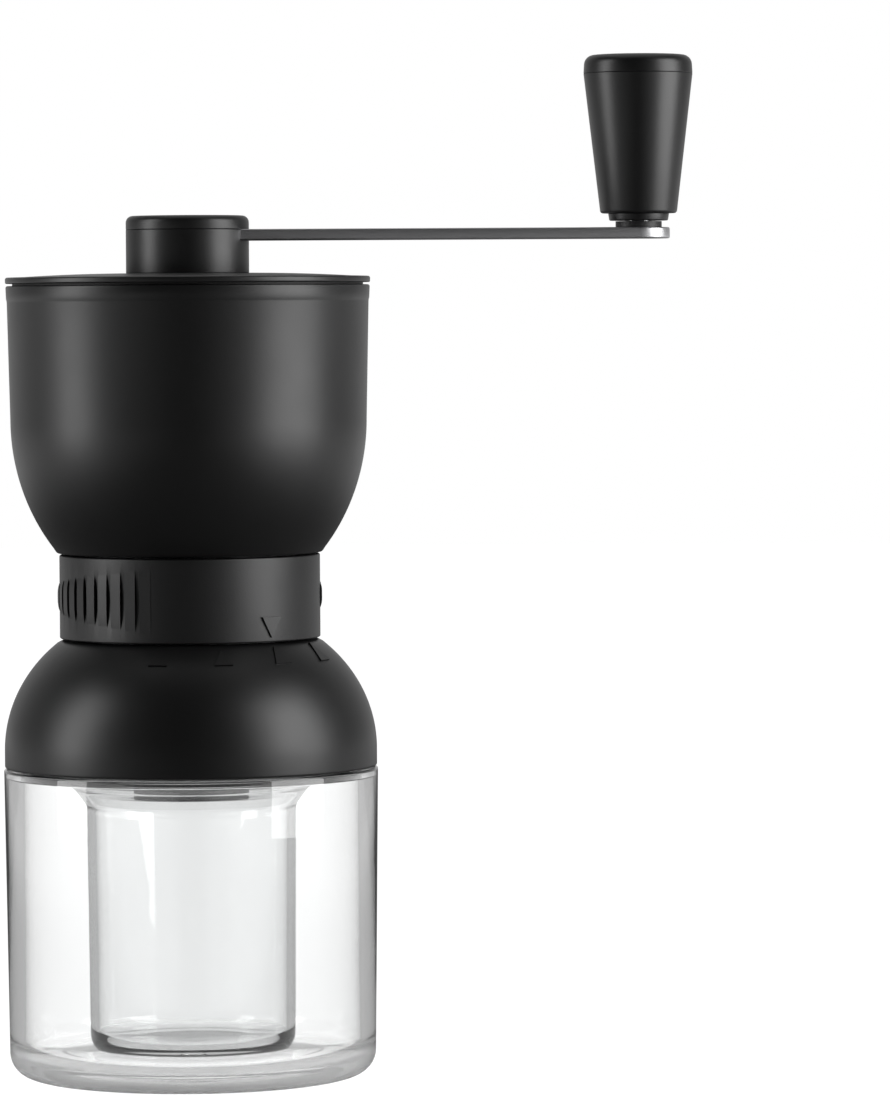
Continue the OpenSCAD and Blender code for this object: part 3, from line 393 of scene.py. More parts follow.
def turned(
    name: str, outline: list[Point], segments: int = SEGMENTS, centre: Point = (0.0, 0.0)
) -> bpy.types.Object:
    """Spins a closed outline about an upright axis.

    Args:
        name: Name of the piece.
        outline: Radius and height of each point of the closed outline.
        segments: Facets round the axis.
        centre: X and Y of the axis.

    Returns:
        The turned piece.
    """
    work = bmesh.new()
    rings: list[list[bmesh.types.BMVert]] = []
    for r, z in outline:
        if r < 1e-6:
            rings.append([work.verts.new((centre[0], centre[1], z))])
            continue
        turns = [math.tau * i / segments for i in range(segments)]
        rings.append(
            [
                work.verts.new((centre[0] + r * math.cos(a), centre[1] + r * math.sin(a), z))
                for a in turns
            ]
        )
    for low, high in zip(rings, rings[1:] + rings[:1]):
        if len(low) == 1 and len(high) == 1:
            continue
        for i in range(segments):
            j = (i + 1) % segments
            corners = [low[i % len(low)], low[j % len(low)], high[j % len(high)], high[i % len(high)]]
            unique = list(dict.fromkeys(corners))
            work.faces.new(unique)
    return finish_mesh(work, name)


def prism(name: str, outline: list[Point], low: float, high: float) -> bpy.types.Object:
    """Extrudes a flat outline in X and Y from one height to another.

    Args:
        name: Name of the piece.
        outline: Corners of the outline.
        low: Height of its underside.
        high: Height of its top.

    Returns:
        The extruded piece.
    """
    work = bmesh.new()
    bottom = [work.verts.new((x, y, low)) for x, y in outline]
    top = [work.verts.new((x, y, high)) for x, y in outline]
    work.faces.new(bottom)
    work.faces.new(top)
    for i in range(len(outline)):
        j = (i + 1) % len(outline)
        work.faces.new([bottom[i], bottom[j], top[j], top[i]])
    return finish_mesh(work, name)


def baked(source: bpy.types.Object, name: str) -> bpy.types.Object:
    """Turns an object and its modifiers into a plain mesh object.

    Args:
        source: Object with live modifiers, removed here.
        name: Name of the plain piece.

    Returns:
        The plain piece.
    """
    bpy.context.view_layer.update()
    graph = bpy.context.evaluated_depsgraph_get()
    mesh = bpy.data.meshes.new_from_object(source.evaluated_get(graph))
    bpy.data.objects.remove(source)
    mesh.name = name
    mesh.shade_smooth()
    mesh.set_sharp_from_angle(angle=CREASE)
    return new_object(name, mesh)


def bevelled(piece: bpy.types.Object, width: float, steps: int = 3) -> bpy.types.Object:
    """Rounds a piece's sharp edges.

    Args:
        piece: The piece, replaced here.
        width: Width of the rounding.
        steps: Facets across it.

    Returns:
        The rounded piece.
    """
    bevel = piece.modifiers.new("edge_round", "BEVEL")
    bevel.width = width
    bevel.segments = steps
    bevel.limit_method = "ANGLE"
    bevel.angle_limit = CREASE
    return baked(piece, piece.name)


def cut(piece: bpy.types.Object, tool: bpy.types.Object, join: bool = False) -> bpy.types.Object:
    """Cuts a tool out of a piece, or joins it on, and deletes the tool.

    Args:
        piece: The piece, replaced here.
        tool: The tool.
        join: Whether the tool is joined on rather than cut.

    Returns:
        The worked piece.
    """
    step = piece.modifiers.new("cut", "BOOLEAN")
    step.operation = "UNION" if join else "DIFFERENCE"
    step.solver = "EXACT"
    step.object = tool
    made = baked(piece, piece.name)
    bpy.data.objects.remove(tool)
    return made


# ---------------------------------------------------------------- node trees


class Tree:
    """A Geometry Nodes tree in the making, with short calls for what its shapes need."""

    def __init__(self, name: str) -> None:
        """Starts a tree that takes and gives geometry."""
        self.group = bpy.data.node_groups.new(name, "GeometryNodeTree")
        self.group.is_modifier = True
        sockets = self.group.interface
        sockets.new_socket("Geometry", in_out="INPUT", socket_type="NodeSocketGeometry")
        sockets.new_socket("Geometry", in_out="OUTPUT", socket_type="NodeSocketGeometry")
        self.start = self.group.nodes.new("NodeGroupInput")
        self.end = self.group.nodes.new("NodeGroupOutput")

    def named(self, name: str, kind: str = "Float") -> bpy.types.NodeSocket:
        """Adds a named input and gives its socket."""
        self.group.interface.new_socket(name, in_out="INPUT", socket_type=f"NodeSocket{kind}")
        return self.start.outputs[name]

    def node(self, kind: str, inputs: dict | None = None, **settings: object) -> bpy.types.Node:
        """Adds a node.

        Args:
            kind: Type of the node, without its prefix where it is a geometry node.
            inputs: Value or socket for each input, by name or place.
            settings: Properties of the node.

        Returns:
            The node.
        """
        prefix = "" if kind.startswith(("Shader", "Function")) else "GeometryNode"
        made = self.group.nodes.new(prefix + kind)
        for key, value in settings.items():
            setattr(made, key, value)
        for key, value in (inputs or {}).items():
            if isinstance(value, bpy.types.NodeSocket):
                self.group.links.new(value, made.inputs[key])
            else:
                made.inputs[key].default_value = value
        return made

    def sum(self, work: str, *terms: object) -> bpy.types.NodeSocket:
        """Adds a math node and gives its result."""
        return self.node("ShaderNodeMath", dict(enumerate(terms)), operation=work).outputs[0]

    def vector(self, x: object, y: object, z: object) -> bpy.types.NodeSocket:
        """Joins three values into a vector."""
        return self.node("ShaderNodeCombineXYZ", {0: x, 1: y, 2: z}).outputs[0]

    def finish(self, shape: bpy.types.NodeSocket, material: bpy.types.NodeSocket) -> None:
        """Ends the tree with real geometry in one material."""
        real = self.node("RealizeInstances", {"Geometry": shape})
        dressed = self.node(
            "SetMaterial", {"Geometry": real.outputs[0], "Material": material}
        )
        self.group.links.new(dressed.outputs[0], self.end.inputs[0])

    def grow(
        self, source: bpy.types.Object, name: str, values: dict[str, object]
    ) -> bpy.types.Object:
        """Runs the tree on an object and keeps the result as a plain mesh.

        Args:
            source: Object that the tree starts from, removed here.
            name: Name of the finished piece.
            values: Value of each named input.

        Returns:
            The finished piece.
        """
        modifier = source.modifiers.new(self.group.name, "NODES")
        modifier.node_group = self.group
        keys = {
            item.name: item.identifier
            for item in self.group.interface.items_tree
            if item.item_type == "SOCKET" and item.in_out == "INPUT"
        }
        for label, value in values.items():
            modifier[keys[label]] = value
        return baked(source, name)


def seed_object(name: str) -> bpy.types.Object:
    """Gives an empty mesh object for a tree that makes its own geometry."""
    return new_object(name, bpy.data.meshes.new(name))


def ring_tree() -> Tree:
    """Makes the tree that repeats a tool round the axis and joins or cuts it.

    Copy number i stands at the angle Start + i * Pitch, at the distance Radius and the
    height Height, leaning by Lean. Its size runs from First Size to Last Size along a
    power curve, and its distance grows with Reach times its size's X.

    Returns:
        The tree, with the tool as a named input.
    """
    tree = Tree("repeat_round_axis")
    material = tree.named("Material", "Material")
    tool = tree.named("Tool", "Object")
    count = tree.named("Count", "Int")
    start, pitch = tree.named("Start"), tree.named("Pitch")
    radius, height, lean = tree.named("Radius"), tree.named("Height"), tree.named("Lean")
    first, last = tree.named("First Size", "Vector"), tree.named("Last Size", "Vector")
    curve, reach = tree.named("Curve"), tree.named("Reach")
    join = tree.named("Join", "Bool")
    line = tree.node("MeshLine", {"Count": count, "Offset": (0.0, 0.0, 0.0)})
    index = tree.node("InputIndex").outputs[0]
    share = tree.sum(
        "POWER", tree.sum("DIVIDE", index, tree.sum("MAXIMUM", tree.sum("SUBTRACT", count, 1.0), 1.0)), curve
    )
    size = tree.node(
        "ShaderNodeMix",
        {"Factor": share, 4: first, 5: last},
        data_type="VECTOR",
        factor_mode="UNIFORM",
    ).outputs[1]
    size_x = tree.node("ShaderNodeSeparateXYZ", {0: size}).outputs[0]
    angle = tree.sum("ADD", start, tree.sum("MULTIPLY", index, pitch))
    away = tree.sum("ADD", radius, tree.sum("MULTIPLY", reach, size_x))
    place = tree.vector(
        tree.sum("MULTIPLY", away, tree.sum("COSINE", angle)),
        tree.sum("MULTIPLY", away, tree.sum("SINE", angle)),
        height,
    )
    points = tree.node("SetPosition", {"Geometry": line.outputs[0], "Position": place})
    shape = tree.node("ObjectInfo", {"Object": tool})
    copies = tree.node(
        "InstanceOnPoints",
        {
            "Points": points.outputs[0],
            "Instance": shape.outputs["Geometry"],
            "Rotation": tree.vector(0.0, lean, angle),
            "Scale": size,
        },
    )
    real = tree.node("RealizeInstances", {"Geometry": copies.outputs[0]})
    less = tree.node("MeshBoolean", {"Mesh 1": tree.start.outputs[0]}, operation="DIFFERENCE")
    more = tree.node("MeshBoolean", operation="UNION")
    for node in (less, more):
        node.solver = "EXACT"
        tree.group.links.new(real.outputs[0], node.inputs["Mesh 2"])
    tree.group.links.new(tree.start.outputs[0], more.inputs["Mesh 2"])
    pick = tree.node(
        "Switch",
        {"Switch": join, "False": less.outputs[0], "True": more.outputs[0]},
        input_type="GEOMETRY",
    )
    tree.finish(pick.outputs[0], material)
    return tree


def bolt_tree() -> Tree:
    """Makes the tree that stands copies of a fastener on a bolt circle.

    Returns:
        The tree, with the fastener as a named input.
    """
    tree = Tree("bolt_circle")
    material = tree.named("Material", "Material")
    tool = tree.named("Fastener", "Object")
    count, radius = tree.named("Count", "Int"), tree.named("Radius")
    start, pitch, height = tree.named("Start"), tree.named("Pitch"), tree.named("Height")
    line = tree.node("MeshLine", {"Count": count, "Offset": (0.0, 0.0, 0.0)})
    index = tree.node("InputIndex").outputs[0]
    angle = tree.sum("ADD", start, tree.sum("MULTIPLY", index, pitch))
    place = tree.vector(
        tree.sum("MULTIPLY", radius, tree.sum("COSINE", angle)),
        tree.sum("MULTIPLY", radius, tree.sum("SINE", angle)),
        height,
    )
    points = tree.node("SetPosition", {"Geometry": line.outputs[0], "Position": place})
    shape = tree.node("ObjectInfo", {"Object": tool})
    copies = tree.node(
        "InstanceOnPoints",
        {
            "Points": points.outputs[0],
            "Instance": shape.outputs["Geometry"],
            "Rotation": tree.vector(0.0, 0.0, angle),
        },
    )
    tree.finish(copies.outputs[0], material)
    return tree


def coil_tree() -> Tree:
    """Makes the tree that sweeps a round or flat-sided section along a helix.

    Returns:
        The tree. The section has Corners sides, and its ends taper over the share Taper.
    """
    tree = Tree("helix_sweep")
    material = tree.named("Material", "Material")
    radius, rise, turns = tree.named("Radius"), tree.named("Rise"), tree.named("Turns")
    steps, corners = tree.named("Steps", "Int"), tree.named("Corners", "Int")
    section, taper = tree.named("Section"), tree.named("Taper")
    start, height, copies = tree.named("Start"), tree.named("Height"), tree.named("Copies", "Int")
    line = tree.node("CurvePrimitiveLine", {"Start": (0.0, 0.0, 0.0), "End": (0.0, 0.0, 1.0)})
    fine = tree.node("ResampleCurve", {"Curve": line.outputs[0], "Count": steps})
    along = tree.node("SplineParameter").outputs[0]
    angle = tree.sum("ADD", start, tree.sum("MULTIPLY", along, tree.sum("MULTIPLY", turns, math.tau)))
    place = tree.vector(
        tree.sum("MULTIPLY", radius, tree.sum("COSINE", angle)),
        tree.sum("MULTIPLY", radius, tree.sum("SINE", angle)),
        tree.sum("ADD", height, tree.sum("MULTIPLY", along, rise)),
    )
    helix = tree.node("SetPosition", {"Geometry": fine.outputs[0], "Position": place})
    upright = tree.node("SetCurveNormal", {"Curve": helix.outputs[0]}, mode="Z_UP")
    edge = tree.sum("MINIMUM", along, tree.sum("SUBTRACT", 1.0, along))
    swell_in = tree.sum("MINIMUM", 1.0, tree.sum("ADD", 0.02, tree.sum("DIVIDE", edge, taper)))
    sized = tree.node("SetCurveRadius", {"Curve": upright.outputs[0], "Radius": swell_in})
    ring = tree.node("CurvePrimitiveCircle", {"Resolution": corners, "Radius": section})
    skin = tree.node(
        "CurveToMesh",
        {"Curve": sized.outputs[0], "Profile Curve": ring.outputs[0], "Fill Caps": True},
    )
    for socket in skin.inputs:
        if socket.name == "Scale":
            tree.group.links.new(swell_in, socket)
    marks = tree.node("MeshLine", {"Count": copies, "Offset": (0.0, 0.0, 0.0)})
    index = tree.node("InputIndex").outputs[0]
    spin = tree.sum("DIVIDE", tree.sum("MULTIPLY", index, math.tau), copies)
    starts = tree.node(
        "InstanceOnPoints",
        {
            "Points": marks.outputs[0],
            "Instance": skin.outputs[0],
            "Rotation": tree.vector(0.0, 0.0, spin),
        },
    )
    tree.finish(starts.outputs[0], material)
    return tree


# ---------------------------------------------------------------- the maker


class Maker:
    """Holds what every sub-assembly shares: finishes, node trees and the hand-over calls."""

    def __init__(self) -> None:
        """Builds the finishes and the node trees."""
        self.wardrobe = Wardrobe()
        self.ring = ring_tree()
        self.bolts = bolt_tree()
        self.coil = coil_tree()

    def hand_over(
        self, piece: bpy.types.Object, body: Body, slot: Slot, *nodes: str
    ) -> bpy.types.Object:
        """Dresses a piece, lets it ride on its body and replaces the frame's nodes.

        Args:
            piece: The finished piece.
            body: Body that it moves with.
            slot: Finish that it wears.
            nodes: Nodes of the frame that it stands for.

        Returns:
            The piece.
        """
        piece.data.materials.clear()
        piece.data.materials.append(self.wardrobe.get(slot))
        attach(piece, body.value)
        if nodes:
            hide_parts(*nodes)
        LOG.info("%s: %d faces on %s", piece.name, len(piece.data.polygons), body.value)
        return piece

    def dress_node(self, node: str, slot: Slot) -> None:
        """Gives a node of the frame a finish."""
        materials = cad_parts[node].data.materials
        materials.clear()
        materials.append(self.wardrobe.get(slot))
        LOG.info("%s: kept from the frame", node)

    def repeat(
        self,
        piece: bpy.types.Object,
        tool: bpy.types.Object,
        slot: Slot,
        count: int,
        start: float,
        pitch: float,
        radius: float,
        height: float,
        first: tuple[float, float, float],
        last: tuple[float, float, float] | None = None,
        lean: float = 0.0,
        curve: float = 1.0,
        reach: float = 0.0,
        join: bool = False,
    ) -> bpy.types.Object:
        """Cuts or joins copies of a tool round the axis, and deletes the tool.

        Args:
            piece: Piece to work on.
            tool: Tool of unit size.
            slot: Finish that the piece will wear.
            count: Number of copies.
            start: Angle of the first copy.
            pitch: Angle between two copies.
            radius: Distance from the axis.
            height: Height of the copies.
            first: Size of the first copy.
            last: Size of the last copy, the same as the first where it isn't given.
            lean: Angle by which a copy leans back.
            curve: Power of the growth from first to last.
            reach: Share of a copy's X size that is added to its distance.
            join: Whether the copies are joined on rather than cut.

        Returns:
            The worked piece.
        """
        values = {
            "Material": self.wardrobe.get(slot),
            "Tool": tool,
            "Count": count,
            "Start": start,
            "Pitch": pitch,
            "Radius": radius,
            "Height": height,
            "Lean": lean,
            "First Size": first,
            "Last Size": last or first,
            "Curve": curve,
            "Reach": reach,
            "Join": join,
        }
        made = self.ring.grow(piece, piece.name, values)
        bpy.data.objects.remove(tool)
        return made


def unit_triangle(up: bool = True) -> bpy.types.Object:
    """Makes a raised triangle: 1 proud along X, 1 wide along Y and 1 high from 0.

    Args:
        up: Whether it points up rather than down.

    Returns:
        The triangle.
    """
    work = bmesh.new()
    base, apex = (0.0, 1.0) if up else (1.0, 0.0)
    outline = [(-0.5, base), (0.5, base), (0.0, apex)]
    back = [work.verts.new((-1.0, y, z)) for y, z in outline]
    face = [work.verts.new((1.0, y, z)) for y, z in outline]
    work.faces.new(back)
    work.faces.new(face)
    for i in range(3):
        j = (i + 1) % 3
        work.faces.new([back[i], back[j], face[j], face[i]])
    return finish_mesh(work, "triangle_tool")


def unit_disc(steps: int = 128) -> bpy.types.Object:
    """Makes a disc cutter of radius 1 with its axis along Y, 1 wide."""
    work = bmesh.new()
    sides = []
    for y in (-0.5, 0.5):
        turns = [math.tau * i / steps for i in range(steps)]
        sides.append([work.verts.new((math.cos(a), y, math.sin(a))) for a in turns])
        work.faces.new(sides[-1])
    for i in range(steps):
        j = (i + 1) % steps
        work.faces.new([sides[0][i], sides[0][j], sides[1][j], sides[1][i]])
    return finish_mesh(work, "disc_tool")


def unit_rib(steps: int = 12) -> bpy.types.Object:
    """Makes a rib that bulges to 1 along X at mid height, 1 wide and 1 high, on a deep root."""
    work = bmesh.new()
    outline = [(-3.0, -0.5), (-3.0, 0.5)]
    for i in range(steps + 1):
        z = 0.5 - i / steps
        outline.append((1 - (2 * z) ** 4, z))
    sides = []
    for y in (-0.5, 0.5):
        sides.append([work.verts.new((x, y, z)) for x, z in outline])
        work.faces.new(sides[-1])
    for i in range(len(outline)):
        j = (i + 1) % len(outline)
        work.faces.new([sides[0][i], sides[0][j], sides[1][j], sides[1][i]])
    return finish_mesh(work, "rib_tool")


# ---------------------------------------------------------------- sub-assemblies


@dataclass
class Jar:
    """The double-wall clear jar with its threaded neck, and the seal over it."""

    wall: float = 3.4 * MM
    floor: float = 3.1 * MM
    corner: float = 8.7 * MM
    lean: float = 0.9 * MM
    hollow: float = 1.1 * MM
    foot: float = 3.4 * MM
    pad: float = 3.0 * MM
    rim: float = 1.8 * MM
    shoulder: float = 69.2 * MM
    cup_wall: float = 1.9 * MM
    cup_floor: float = 3.0 * MM
    gap: float = 0.8 * MM
    cup_foot: float = 23.0 * MM
    cup_top: float = 23.6 * MM
    cup_corner: float = 4.5 * MM
    flare: float = 7.6 * MM
    neck: float = 35.6 * MM
    neck_wall: float = 2.2 * MM
    nub: float = 2.3 * MM
    ridge: float = 1.1 * MM
    lead: float = 8.0 * MM
    ridge_turn: float = 150.0 / 360.0
    starts: int = 2

    def outer_outline(self) -> list[Point]:
        """Gives the outer jar's outline."""
        top = box_of("outer_jar")[1]
        outer, height = top.x, top.z
        foot = outer - self.lean
        inner_top, inner_foot = outer - self.wall, foot - self.wall
        floor = self.hollow + self.floor
        step = 0.8 * MM
        corners = [
            (0.0, 0.0, 0.0),
            (self.pad, 0.0, 0.3 * MM),
            (self.pad + self.hollow / 2, self.hollow, 0.5 * MM),
            (foot - self.corner - self.foot, self.hollow, 0.5 * MM),
            (foot - self.corner - self.foot + self.hollow, 0.0, 0.5 * MM),
            (foot, 0.0, self.corner),
            (outer, height, 0.5 * MM),
            (inner_top + 0.05 * MM, height, 0.2 * MM),
            (inner_top + 0.05 * MM, height - self.rim, 0.0),
            (inner_top - step, height - self.rim, 0.3 * MM),
            (inner_foot, floor, self.corner - self.wall),
            (0.0, floor, 0.0),
        ]
        return rounded(corners)

    def cup_outline(self) -> list[Point]:
        """Gives the outline of the inner cup with its flare and neck."""
        high = box_of("inner_cup")[1]
        bottom = self.hollow + self.floor + self.gap
        level = self.shoulder - self.rim
        bend = level - self.flare
        reach = self.neck - self.cup_top
        inner = self.cup_top - self.cup_wall
        rise = self.flare * 0.55
        rim_out = box_of("outer_jar")[1].x - self.wall
        corners = [
            (0.0, bottom, 0.0),
            (self.cup_foot, bottom, self.cup_corner),
            (self.cup_top, bend, 3.5 * MM),
            (self.cup_top + reach * 0.26, bend + rise, 4.5 * MM),
            (self.neck - reach * 0.1, level, 1.2 * MM),
            (rim_out, level, 0.0),
            (rim_out, self.shoulder, 0.3 * MM),
            (self.neck, self.shoulder, 0.3 * MM),
            (self.neck, high.z, 0.5 * MM),
            (self.neck - self.neck_wall, high.z, 0.5 * MM),
            (self.neck - self.neck_wall, self.shoulder, 2.0 * MM),
            (self.cup_top + reach * 0.24 - self.cup_wall, bend + rise + self.cup_wall * 0.6, 4.0 * MM),
            (inner, bend, 3.5 * MM),
            (self.cup_foot - self.cup_wall, bottom + self.cup_floor, self.cup_corner - 1.2 * MM),
            (0.0, bottom + self.cup_floor, 0.0),
        ]
        return rounded(corners)

    def build(self, maker: Maker) -> None:
        """Makes the jar's pieces."""
        outer = turned("outer_jar_clear", self.outer_outline())
        outer = maker.hand_over(outer, Body.JAR, Slot.CLEAR, "outer_jar")
        cup = turned("inner_cup_clear", self.cup_outline())
        nub_low = self.hollow + self.floor + 0.4 * MM
        nub = turned(
            "nub",
            rounded(
                [
                    (0.0, nub_low + 0.15 * MM, 0.0),
                    (self.nub - 0.6 * MM, nub_low, 0.2 * MM),
                    (self.nub, nub_low, 0.2 * MM),
                    (self.nub, nub_low + 1.0 * MM, 0.0),
                    (0.0, nub_low + 1.0 * MM, 0.0),
                ]
            ),
            48,
        )
        cup = cut(cup, nub, join=True)
        thread = maker.coil.grow(
            seed_object("thread"),
            "thread",
            {
                "Material": maker.wardrobe.get(Slot.CLEAR),
                "Radius": self.neck,
                "Rise": self.lead * self.ridge_turn,
                "Turns": self.ridge_turn,
                "Steps": 60,
                "Corners": 10,
                "Section": self.ridge * 0.75,
                "Taper": 0.06,
                "Start": 0.0,
                "Height": self.shoulder + (box_of("inner_cup")[1].z - self.shoulder) * 0.45,
                "Copies": self.starts,
            },
        )
        cup = cut(cup, thread, join=True)
        cup = maker.hand_over(cup, Body.JAR, Slot.CLEAR, "inner_cup")
        for piece in (outer, cup):
            piece.visible_shadow = False
        low, high = box_of("jar_seal")
        width = 3.0 * MM
        seal = turned(
            "jar_seal_ring",
            rounded(
                [
                    (high.x - width, low.z, 0.6 * MM),
                    (high.x, low.z, 0.6 * MM),
                    (high.x, high.z, 0.6 * MM),
                    (high.x - width, high.z, 0.6 * MM),
                ]
            ),
        )
        maker.hand_over(seal, Body.SEAL, Slot.SILICONE, "jar_seal")


@dataclass
class Collar:
    """The domed collar over the jar, with its grind marks, and the powder chute."""

    top_radius: float = 29.0 * MM
    edge: float = 4.0 * MM
    share: float = 0.77
    wall: float = 2.5 * MM
    plate: float = 3.0 * MM
    bore: float = 25.15 * MM
    skirt: float = 37.05 * MM
    shelf_low: float = 80.8 * MM
    shelf: float = 1.8 * MM
    shelf_in: float = 32.6 * MM
    marks: int = 4
    mark_first: float = math.radians(-12.5)
    mark_pitch: float = math.radians(25)
    mark_small: float = 2.4 * MM
    mark_large: float = 5.57 * MM
    mark_width: float = 4.2 * MM
    mark_rise: float = 0.3 * MM
    mark_drop: float = 4.2 * MM
    mark_growth: float = 0.35
    pilot_ring: float = 27.525 * MM
    steps: int = 40

    def radius(self, depth: float) -> float:
        """Gives the collar's radius at a depth below its top."""
        low, high = box_of("base_collar")
        belly = high.z - low.z - self.edge
        return swell(self.top_radius, high.x, belly, self.share, depth)

    def outline(self) -> list[Point]:
        """Gives the collar's outline, from its bore outwards and back inside."""
        low, high = box_of("base_collar")
        belly = high.z - low.z - self.edge
        lip = 0.6 * MM
        depths = [lip + (belly - lip) * i / self.steps for i in range(self.steps + 1)]
        outer = [(self.radius(d), high.z - d) for d in depths]
        top_edge = [
            (self.bore, high.z),
            (self.radius(0) - lip * 0.8, high.z),
            (self.radius(0) - lip * 0.2, high.z - lip * 0.25),
        ]
        round_low = 0.5 * MM
        foot = arc_points((high.x - round_low, low.z + round_low), round_low, 0, -math.pi / 2)
        deep = high.z - self.shelf_low - self.shelf
        inside = [
            (self.radius(d) - self.wall, high.z - d)
            for d in [deep + (self.plate - deep) * i / self.steps for i in range(self.steps + 1)]
        ]
        under = [
            (self.skirt, low.z),
            (self.skirt, self.shelf_low),
            (self.shelf_in, self.shelf_low),
            (self.shelf_in, self.shelf_low + self.shelf),
        ]
        return top_edge + outer + foot + under + inside + [(self.bore, high.z - self.plate)]

    def build(self, maker: Maker) -> None:
        """Makes the collar with its marks, and the chute."""
        high = box_of("base_collar")[1]
        collar = turned("base_collar_dome", self.outline(), 256)
        base, tip = self.radius(self.mark_drop), self.radius(self.mark_drop - 3 * MM)
        lean = -(math.pi / 2 - math.atan2(3 * MM, base - tip))
        collar = maker.repeat(
            collar,
            unit_triangle(),
            Slot.BLACK,
            self.marks,
            FRONT + self.mark_first,
            self.mark_pitch,
            base,
            high.z - self.mark_drop,
            (self.mark_rise, self.mark_width, self.mark_small),
            (self.mark_rise, self.mark_width, self.mark_large),
            lean=lean,
            curve=self.mark_growth,
            join=True,
        )
        collar = maker.repeat(
            collar,
            unit_pin(),
            Slot.BLACK,
            3,
            math.radians(30),
            math.tau / 3,
            self.pilot_ring,
            high.z - self.plate - 1 * MM,
            (1.05 * MM, 1.05 * MM, 3.2 * MM),
        )
        maker.hand_over(collar, Body.MILL, Slot.BLACK, "base_collar")
        self.build_chute(maker)

    def build_chute(self, maker: Maker) -> None:
        """Makes the powder chute."""
        low, high = box_of("powder_chute")
        spout, thick = 12.9 * MM, 1.5 * MM
        bend = 69.5 * MM
        wide, flange = 21.9 * MM, 2.0 * MM
        deck = high.z - flange
        chute = turned(
            "powder_chute_funnel",
            rounded(
                [
                    (spout - thick, low.z, 0.4 * MM),
                    (spout, low.z, 0.4 * MM),
                    (spout, bend, 3.0 * MM),
                    (wide, deck, 1.0 * MM),
                    (high.x, deck, 0.4 * MM),
                    (high.x, high.z, 0.0),
                    (wide - thick, high.z, 0.3 * MM),
                    (wide - thick, deck + flange / 2, 1.5 * MM),
                    (spout - thick, bend, 3.0 * MM),
                ]
            ),
        )
        chute = maker.repeat(
            chute,
            unit_pin(),
            Slot.BLACK,
            3,
            math.radians(30),
            math.tau / 3,
            self.pilot_ring,
            deck - 1 * MM,
            (1.05 * MM, 1.05 * MM, 4 * MM),
        )
        maker.hand_over(chute, Body.MILL, Slot.BLACK, "powder_chute")


def unit_pin(steps: int = 32) -> bpy.types.Object:
    """Makes a pin of radius 1 that stands 1 high on the origin."""
    outline = [(0.0, 0.0), (1.0, 0.0), (1.0, 1.0), (0.0, 1.0)]
    return turned("pin_tool", outline, steps)


@dataclass
class AdjustingRing:
    """The ring that sets the grind, with two ribbed grips and a pointer."""

    wall: float = 3.85 * MM
    ribs: int = 11
    pitch: float = math.radians(7.2)
    start: float = math.radians(19.8)
    tall: float = 13.8 * MM
    short: float = 5.4 * MM
    scoop_depth: float = 0.55 * MM
    scoop_width: float = 1.15 * MM
    proud: float = 0.42 * MM
    pointer: float = math.radians(37.5)
    pointer_height: float = 4.6 * MM
    pointer_width: float = 5.2 * MM
    pointer_rise: float = 0.45 * MM
    pointer_lift: float = 1.0 * MM
    edge: float = 0.35 * MM

    def build(self, maker: Maker) -> None:
        """Makes the ring with its grips and pointer."""
        low, high = box_of("adjusting_ring")
        outer = 29.25 * MM
        middle = (low.z + high.z) / 2
        inner = outer - self.wall
        corners = rounded(
            [
                (inner, low.z, 0.2 * MM),
                (outer, low.z, self.edge),
                (outer, high.z, self.edge),
                (inner, high.z, 0.2 * MM),
            ]
        )
        ring = turned("adjusting_ring_grip", corners, 360)
        deep = (self.tall**2 / 4 + self.scoop_depth**2) / (2 * self.scoop_depth)
        shallow = (self.short**2 / 4 + self.scoop_depth**2) / (2 * self.scoop_depth)
        rib_width = outer * self.pitch - self.scoop_width
        for turn in (0.0, math.pi):
            first = FRONT - self.start + turn
            ring = maker.repeat(
                ring,
                unit_rib(),
                Slot.RING,
                self.ribs,
                first,
                -self.pitch,
                outer,
                middle,
                (self.proud * 0.15, rib_width, self.tall),
                (self.proud, rib_width, self.short),
                join=True,
            )
            ring = maker.repeat(
                ring,
                unit_disc(),
                Slot.RING,
                self.ribs - 1,
                first - self.pitch / 2,
                -self.pitch,
                outer - self.scoop_depth,
                middle,
                (deep, self.scoop_width, deep),
                (shallow, self.scoop_width, shallow),
                reach=1.0,
            )
        ring = maker.repeat(
            ring,
            unit_triangle(up=False),
            Slot.RING,
            1,
            FRONT + self.pointer,
            0.0,
            outer,
            low.z + self.pointer_lift,
            (self.pointer_rise, self.pointer_width, self.pointer_height),
            join=True,
        )
        maker.hand_over(ring, Body.ADJUSTER, Slot.RING, "adjusting_ring")


